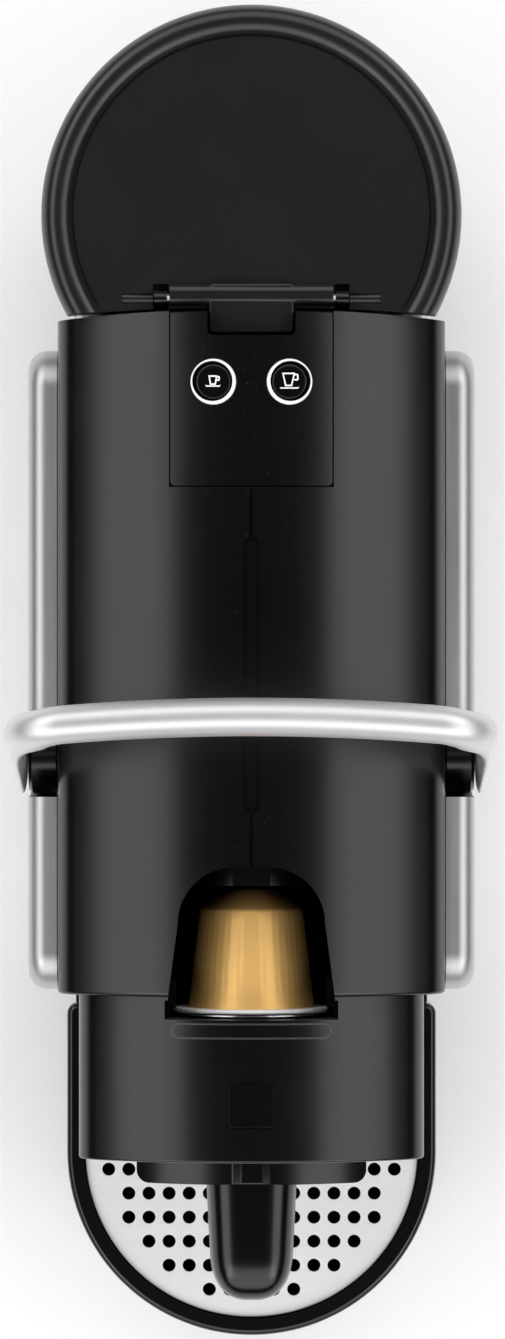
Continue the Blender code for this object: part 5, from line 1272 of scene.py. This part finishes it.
class COFFEE_OT_outlet(Operator):
    """Makes the coffee outlet: a gloss black bar under the head with its rounded nose"""

    bl_idname = "coffee.outlet"
    bl_label = "Coffee outlet"

    def execute(self, context):
        low, high = box_of("coffee_outlet")
        head_low, _ = box_of("head_cover")
        top = head_low.z - 0.3 * mm
        half, ahead = high.x, OUTLET_FRONT
        bar = prism(rounded(rectangle(-half, ahead, half, high.y), 3 * mm, 8), low.z + 2.8 * mm, top)
        round_edges(bar, 1.0 * mm, 5, end_edges(bar, 2, low.z + 2.8 * mm))
        round_edges(bar, 0.8 * mm, 4, end_edges(bar, 2, top))
        ledge = tunnel(half + 1 * mm, top, low.z + 1 * mm, settings().tray.ledge, 1.0 * mm)
        ledge = joined(prism(ledge, ahead - 1 * mm, ahead + 12 * mm, "Y"),
                       block((-half - 2 * mm, ahead + 11 * mm, low.z),
                             (half + 2 * mm, high.y + 2 * mm, top + 1 * mm)))
        bar = kept_to(bar, ledge)
        nose = self.nose(low.y, OUTLET_FRONT + 2.2 * mm, low.z, top - 3.2 * mm)
        stem = cylinder((0, DUCT_Y), 3.6 * mm, top - 3 * mm, high.z, "Z", 32)
        body = joined(bar, nose, stem)
        spouts = [
            cylinder((x, SPOUT_Y), 1.8 * mm, 120 * mm, 141.5 * mm, "Z", 24) for x in (-3.5 * mm, 3.5 * mm)
        ]
        body = cut(body, *spouts, cylinder((0, DUCT_Y), 1.8 * mm, 141 * mm, 160 * mm, "Z", 24))
        finished(body, "outlet_body", gloss_black(), "machine", ["coffee_outlet"])
        return {"FINISHED"}

    def nose(self, tip, back, low, top):
        """The finger-shaped nose: its sides draw in and its crowned top rounds down to the tip."""
        sizes = settings().tray
        bm = bmesh.new()
        rings, count = [], 26
        length_, deep = back - tip, top - low
        for i in range(count + 1):
            t = i / count
            y = tip + length_ * (1 - math.cos(math.pi / 2 * t)) if t < 1 else back
            along = (y - tip) / length_
            near = (1 - (1 - min(1.0, along * 2.5)) ** 2.6) ** (1 / 2.6)
            half = max(0.02 * mm, (sizes.nose - sizes.taper * (1 - along)) * near)
            rise = max(0.02 * mm, deep * near**0.8 * (0.96 + 0.04 * along))
            ring = []
            for k in range(33):
                a = math.pi * k / 32
                c, d = math.cos(a), math.sin(a)
                ring.append(bm.verts.new((half * math.copysign(abs(c) ** 0.62, c), y, low + rise * d**0.62)))
            rings.append(ring)
        for one, two in zip(rings, rings[1:]):
            for k in range(32):
                bm.faces.new((one[k], one[k + 1], two[k + 1], two[k]))
            bm.faces.new((one[32], one[0], two[0], two[32]))
        bm.faces.new(rings[0])
        bm.faces.new(rings[-1])
        bmesh.ops.remove_doubles(bm, verts=bm.verts, dist=0.005 * mm)
        bmesh.ops.recalc_face_normals(bm, faces=bm.faces)
        return bm


# ---- pod ------------------------------------------------------------------------------------------------
class COFFEE_OT_pod(Operator):
    """Makes the fluted gold pod with its flat rim and the foil across its mouth"""

    bl_idname = "coffee.pod"
    bl_label = "Pod"

    def execute(self, context):
        sizes = settings().pod
        low, high = box_of("pod_shell")
        axis = (0, (low.z + high.z) / 2)
        rim_y, tip_y = low.y, high.y
        plane = rim_y + 0.9 * mm
        outer = [(0, tip_y - 0.6 * mm), (3.2 * mm, tip_y - 0.6 * mm), (3.8 * mm, tip_y), (5.3 * mm, tip_y)]
        outer += [(8.5 * mm, tip_y - 2.0 * mm), (11.4 * mm, tip_y - 4.1 * mm)]
        outer.append((sizes.shoulder, tip_y - 5.0 * mm))
        steps = 10
        for i in range(1, steps):
            t = i / steps
            outer.append((sizes.shoulder + (sizes.body - sizes.shoulder) * t,
                          tip_y - 5 * mm + (plane - tip_y + 5 * mm) * t))
        outer += [(sizes.body, plane)]
        inner = [(sizes.body, plane - 0.3 * mm), (sizes.body - 0.5 * mm, plane - 0.3 * mm),
                 (sizes.shoulder - 0.5 * mm, tip_y - 5.3 * mm), (0, tip_y - 1.2 * mm)]
        cup = turned(outer + inner, axis, "Y", sizes.flutes * 4)
        for vertex in cup.verts:
            x, z = vertex.co.x, vertex.co.z - axis[1]
            r = math.hypot(x, z)
            along = (vertex.co.y - plane) / (tip_y - 5 * mm - plane)
            if 0.06 < along < 1.1 and r > sizes.shoulder - 0.3 * mm:
                ripple = sizes.flute * math.cos(sizes.flutes * math.atan2(z, x)) * min(1, 4 * along)
                vertex.co.x += x / r * (ripple - sizes.flute)
                vertex.co.z += z / r * (ripple - sizes.flute)
        gold = crinkled_foil("gold_lacquer", tuple(settings().finish.gold), 0.36, 0.48, 0.4)
        finished(cup, "pod_cup", gold, "pod", ["pod_shell"])
        flange = [(sizes.body - 0.6 * mm, plane - 0.35 * mm), (sizes.body - 0.6 * mm, rim_y)]
        flange.append((sizes.rim - 0.5 * mm, rim_y))
        flange += arc((sizes.rim - 0.5 * mm, rim_y + 0.5 * mm), 0.5 * mm, -90, 90, 8)
        flange += [(sizes.body - 0.6 * mm, rim_y + 1.0 * mm), (sizes.body - 0.6 * mm, plane - 0.35 * mm)]
        pale = brushed(
            "rim_aluminium", tuple(settings().finish.rim), (1.0, 1.0, 1.0), 0.40, 0.50, 500.0, 0.04, 0.0)
        finished(turned(flange, axis, "Y", 128), "pod_flange", pale, "pod")
        foil_low, foil_high = box_of("pod_foil")
        disc = cylinder(axis, foil_high.x, foil_low.y, foil_high.y, "Y", 96)
        silver = crinkled_foil("silver_foil", (0.82, 0.82, 0.82), 0.22, 0.38)
        finished(disc, "pod_seal", silver, "pod", ["pod_foil"])
        return {"FINISHED"}


# ---- what stays from the CAD, and the stage ----------------------------------------------------------------
class COFFEE_OT_inner_parts(Operator):
    """Gives the feet, screws, frames, pump, heater, hoses and boards their finishes"""

    bl_idname = "coffee.inner_parts"
    bl_label = "Inner parts"

    def execute(self, context):
        steel = brushed("turned_steel", (0.62, 0.62, 0.63), (1.0, 1.0, 14.0), 0.25, 0.42, 60.0, 0.05)
        cast = brushed("cast_aluminium", (0.52, 0.52, 0.53), (1.0, 1.0, 1.0), 0.40, 0.62, 420.0, 0.35)
        brass = brushed("drawn_brass", (0.66, 0.46, 0.17), (14.0, 1.0, 14.0), 0.24, 0.40, 60.0, 0.05)
        rubber = moulded("black_rubber", (0.016, 0.016, 0.016), 0.68, 0.82, 1800.0, 0.15, 0.2, 0.6)
        silicone = moulded("clear_silicone", (0.62, 0.61, 0.57), 0.42, 0.58, 600.0, 0.05, 0.1, 0.3)
        board = moulded("green_board", (0.016, 0.10, 0.045), 0.40, 0.56, 900.0, 0.10, 0.5, 0.3)
        finishes = {
            satin_black(): ["base_plate", "inner_frame", "brew_frame", "pod_chute"],
            gloss_black(): ["pod_guide_left", "pod_guide_right", "flow_meter", "tank_dock", "pod_cage"],
            steel: ["base_screw_front_left", "base_screw_front_right", "base_screw_rear_left",
                    "base_screw_rear_right", "extraction_plate", "water_pump", "pump_piston", "crank_left",
                    "crank_right", "lid_hinge_pin", "fold_pin_left", "fold_pin_right"],
            cast: ["thermoblock"],
            brass: ["injector_tube"],
            rubber: ["foot_front_left", "foot_front_right", "foot_rear_left", "foot_rear_right",
                     "pump_mount", "cord_gland"],
            silicone: [
                "tank_valve", "suction_hose", "meter_hose", "pressure_hose", "brew_hose", "outlet_hose"
            ],
            board: ["control_board", "power_board"],
        }
        for finish, nodes in finishes.items():
            for node in nodes:
                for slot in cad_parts[node].material_slots:
                    slot.material = finish
        return {"FINISHED"}


class COFFEE_OT_stage(Operator):
    """Sets the pale floor, the side softboxes and the camera straight above the machine"""

    bl_idname = "coffee.stage"
    bl_label = "Stage"

    def execute(self, context):
        sizes = settings().stage
        scene = context.scene
        floor = solid(block((-14, -14, -0.02), (14, 14, 0)), "floor")
        paper = bpy.data.materials.new("floor_paper")
        paper.use_nodes = True
        shader = paper.node_tree.nodes["Principled BSDF"]
        shader.inputs["Base Color"].default_value = (0.97, 0.97, 0.97, 1)
        shader.inputs["Roughness"].default_value = 0.9
        floor.data.materials.append(paper)

        world = bpy.data.worlds.new("studio")
        world.use_nodes = True
        back = world.node_tree.nodes["Background"]
        back.inputs["Color"].default_value = (1, 1, 1, 1)
        back.inputs["Strength"].default_value = sizes.fill
        scene.world = world

        for side, word in SIDES:
            self.softbox(f"softbox_{word}", (side * 0.84, 0.0, 1.06), "X", 0.66, 2.2, sizes.softbox)
        self.softbox("softbox_front", (0, -1.30, 1.33), "Y", 3.0, 1.5, sizes.ends)
        self.softbox("softbox_back", (0, 1.35, 1.28), "Y", 3.0, 1.5, sizes.ends * 0.8)

        camera = bpy.data.cameras.new("camera")
        camera.lens = sizes.lens
        camera.clip_start, camera.clip_end = 0.05, 60
        view = bpy.data.objects.new("camera", camera)
        bpy.context.collection.objects.link(view)
        view.location = (0.25 * mm, sizes.offset, sizes.height)
        scene.camera = view
        scene.view_settings.view_transform = "Standard"
        return {"FINISHED"}

    def softbox(self, name, place, up, width, depth, power):
        """An area light that faces the machine and is hidden from the camera."""
        light = bpy.data.lights.new(name, "AREA")
        light.shape = "RECTANGLE"
        light.size, light.size_y = width, depth
        light.energy = power
        box = bpy.data.objects.new(name, light)
        bpy.context.collection.objects.link(box)
        box.location = place
        aim = Vector((0, 0, 0.2)) - Vector(place)
        box.rotation_euler = aim.to_track_quat("-Z", up).to_euler()
        box.visible_camera = False


class COFFEE_PT_panel(Panel):
    """Lists the machine's sizes and the buttons that make its pieces"""

    bl_idname = "COFFEE_PT_panel"
    bl_label = "Pod Coffee Machine"
    bl_space_type = "VIEW_3D"
    bl_region_type = "UI"
    bl_category = "Coffee"

    def draw(self, context):
        for name in MachineSettings.__annotations__:
            group = getattr(settings(), name)
            box = self.layout.box()
            box.label(text=name.capitalize())
            for prop in type(group).__annotations__:
                box.prop(group, prop)
        for maker in MAKERS:
            self.layout.operator(maker.bl_idname)


MAKERS = (
    COFFEE_OT_stage, COFFEE_OT_housing, COFFEE_OT_head, COFFEE_OT_side_panels, COFFEE_OT_controls,
    COFFEE_OT_lever, COFFEE_OT_tank, COFFEE_OT_lid, COFFEE_OT_tray, COFFEE_OT_support,
    COFFEE_OT_outlet, COFFEE_OT_pod, COFFEE_OT_inner_parts,
)
GROUPS = (
    BodySizes, ControlSizes, LeverSizes, TankSizes, TraySizes, PodSizes, Finishes, StageSizes,
    MachineSettings,
)


def register():
    for cls in (*GROUPS, *MAKERS, COFFEE_PT_panel):
        bpy.utils.register_class(cls)
    bpy.types.Scene.coffee_machine = PointerProperty(type=MachineSettings)


def unregister():
    del bpy.types.Scene.coffee_machine
    for cls in reversed((*GROUPS, *MAKERS, COFFEE_PT_panel)):
        bpy.utils.unregister_class(cls)


def main():
    register()
    bpy.ops.coffee.stage()
    bpy.ops.coffee.housing()
    bpy.ops.coffee.head()
    bpy.ops.coffee.side_panels()
    bpy.ops.coffee.controls()
    bpy.ops.coffee.lever()
    bpy.ops.coffee.tank()
    bpy.ops.coffee.lid()
    bpy.ops.coffee.tray()
    bpy.ops.coffee.support()
    bpy.ops.coffee.outlet()
    bpy.ops.coffee.pod()
    bpy.ops.coffee.inner_parts()


if __name__ == "__main__":
    main()
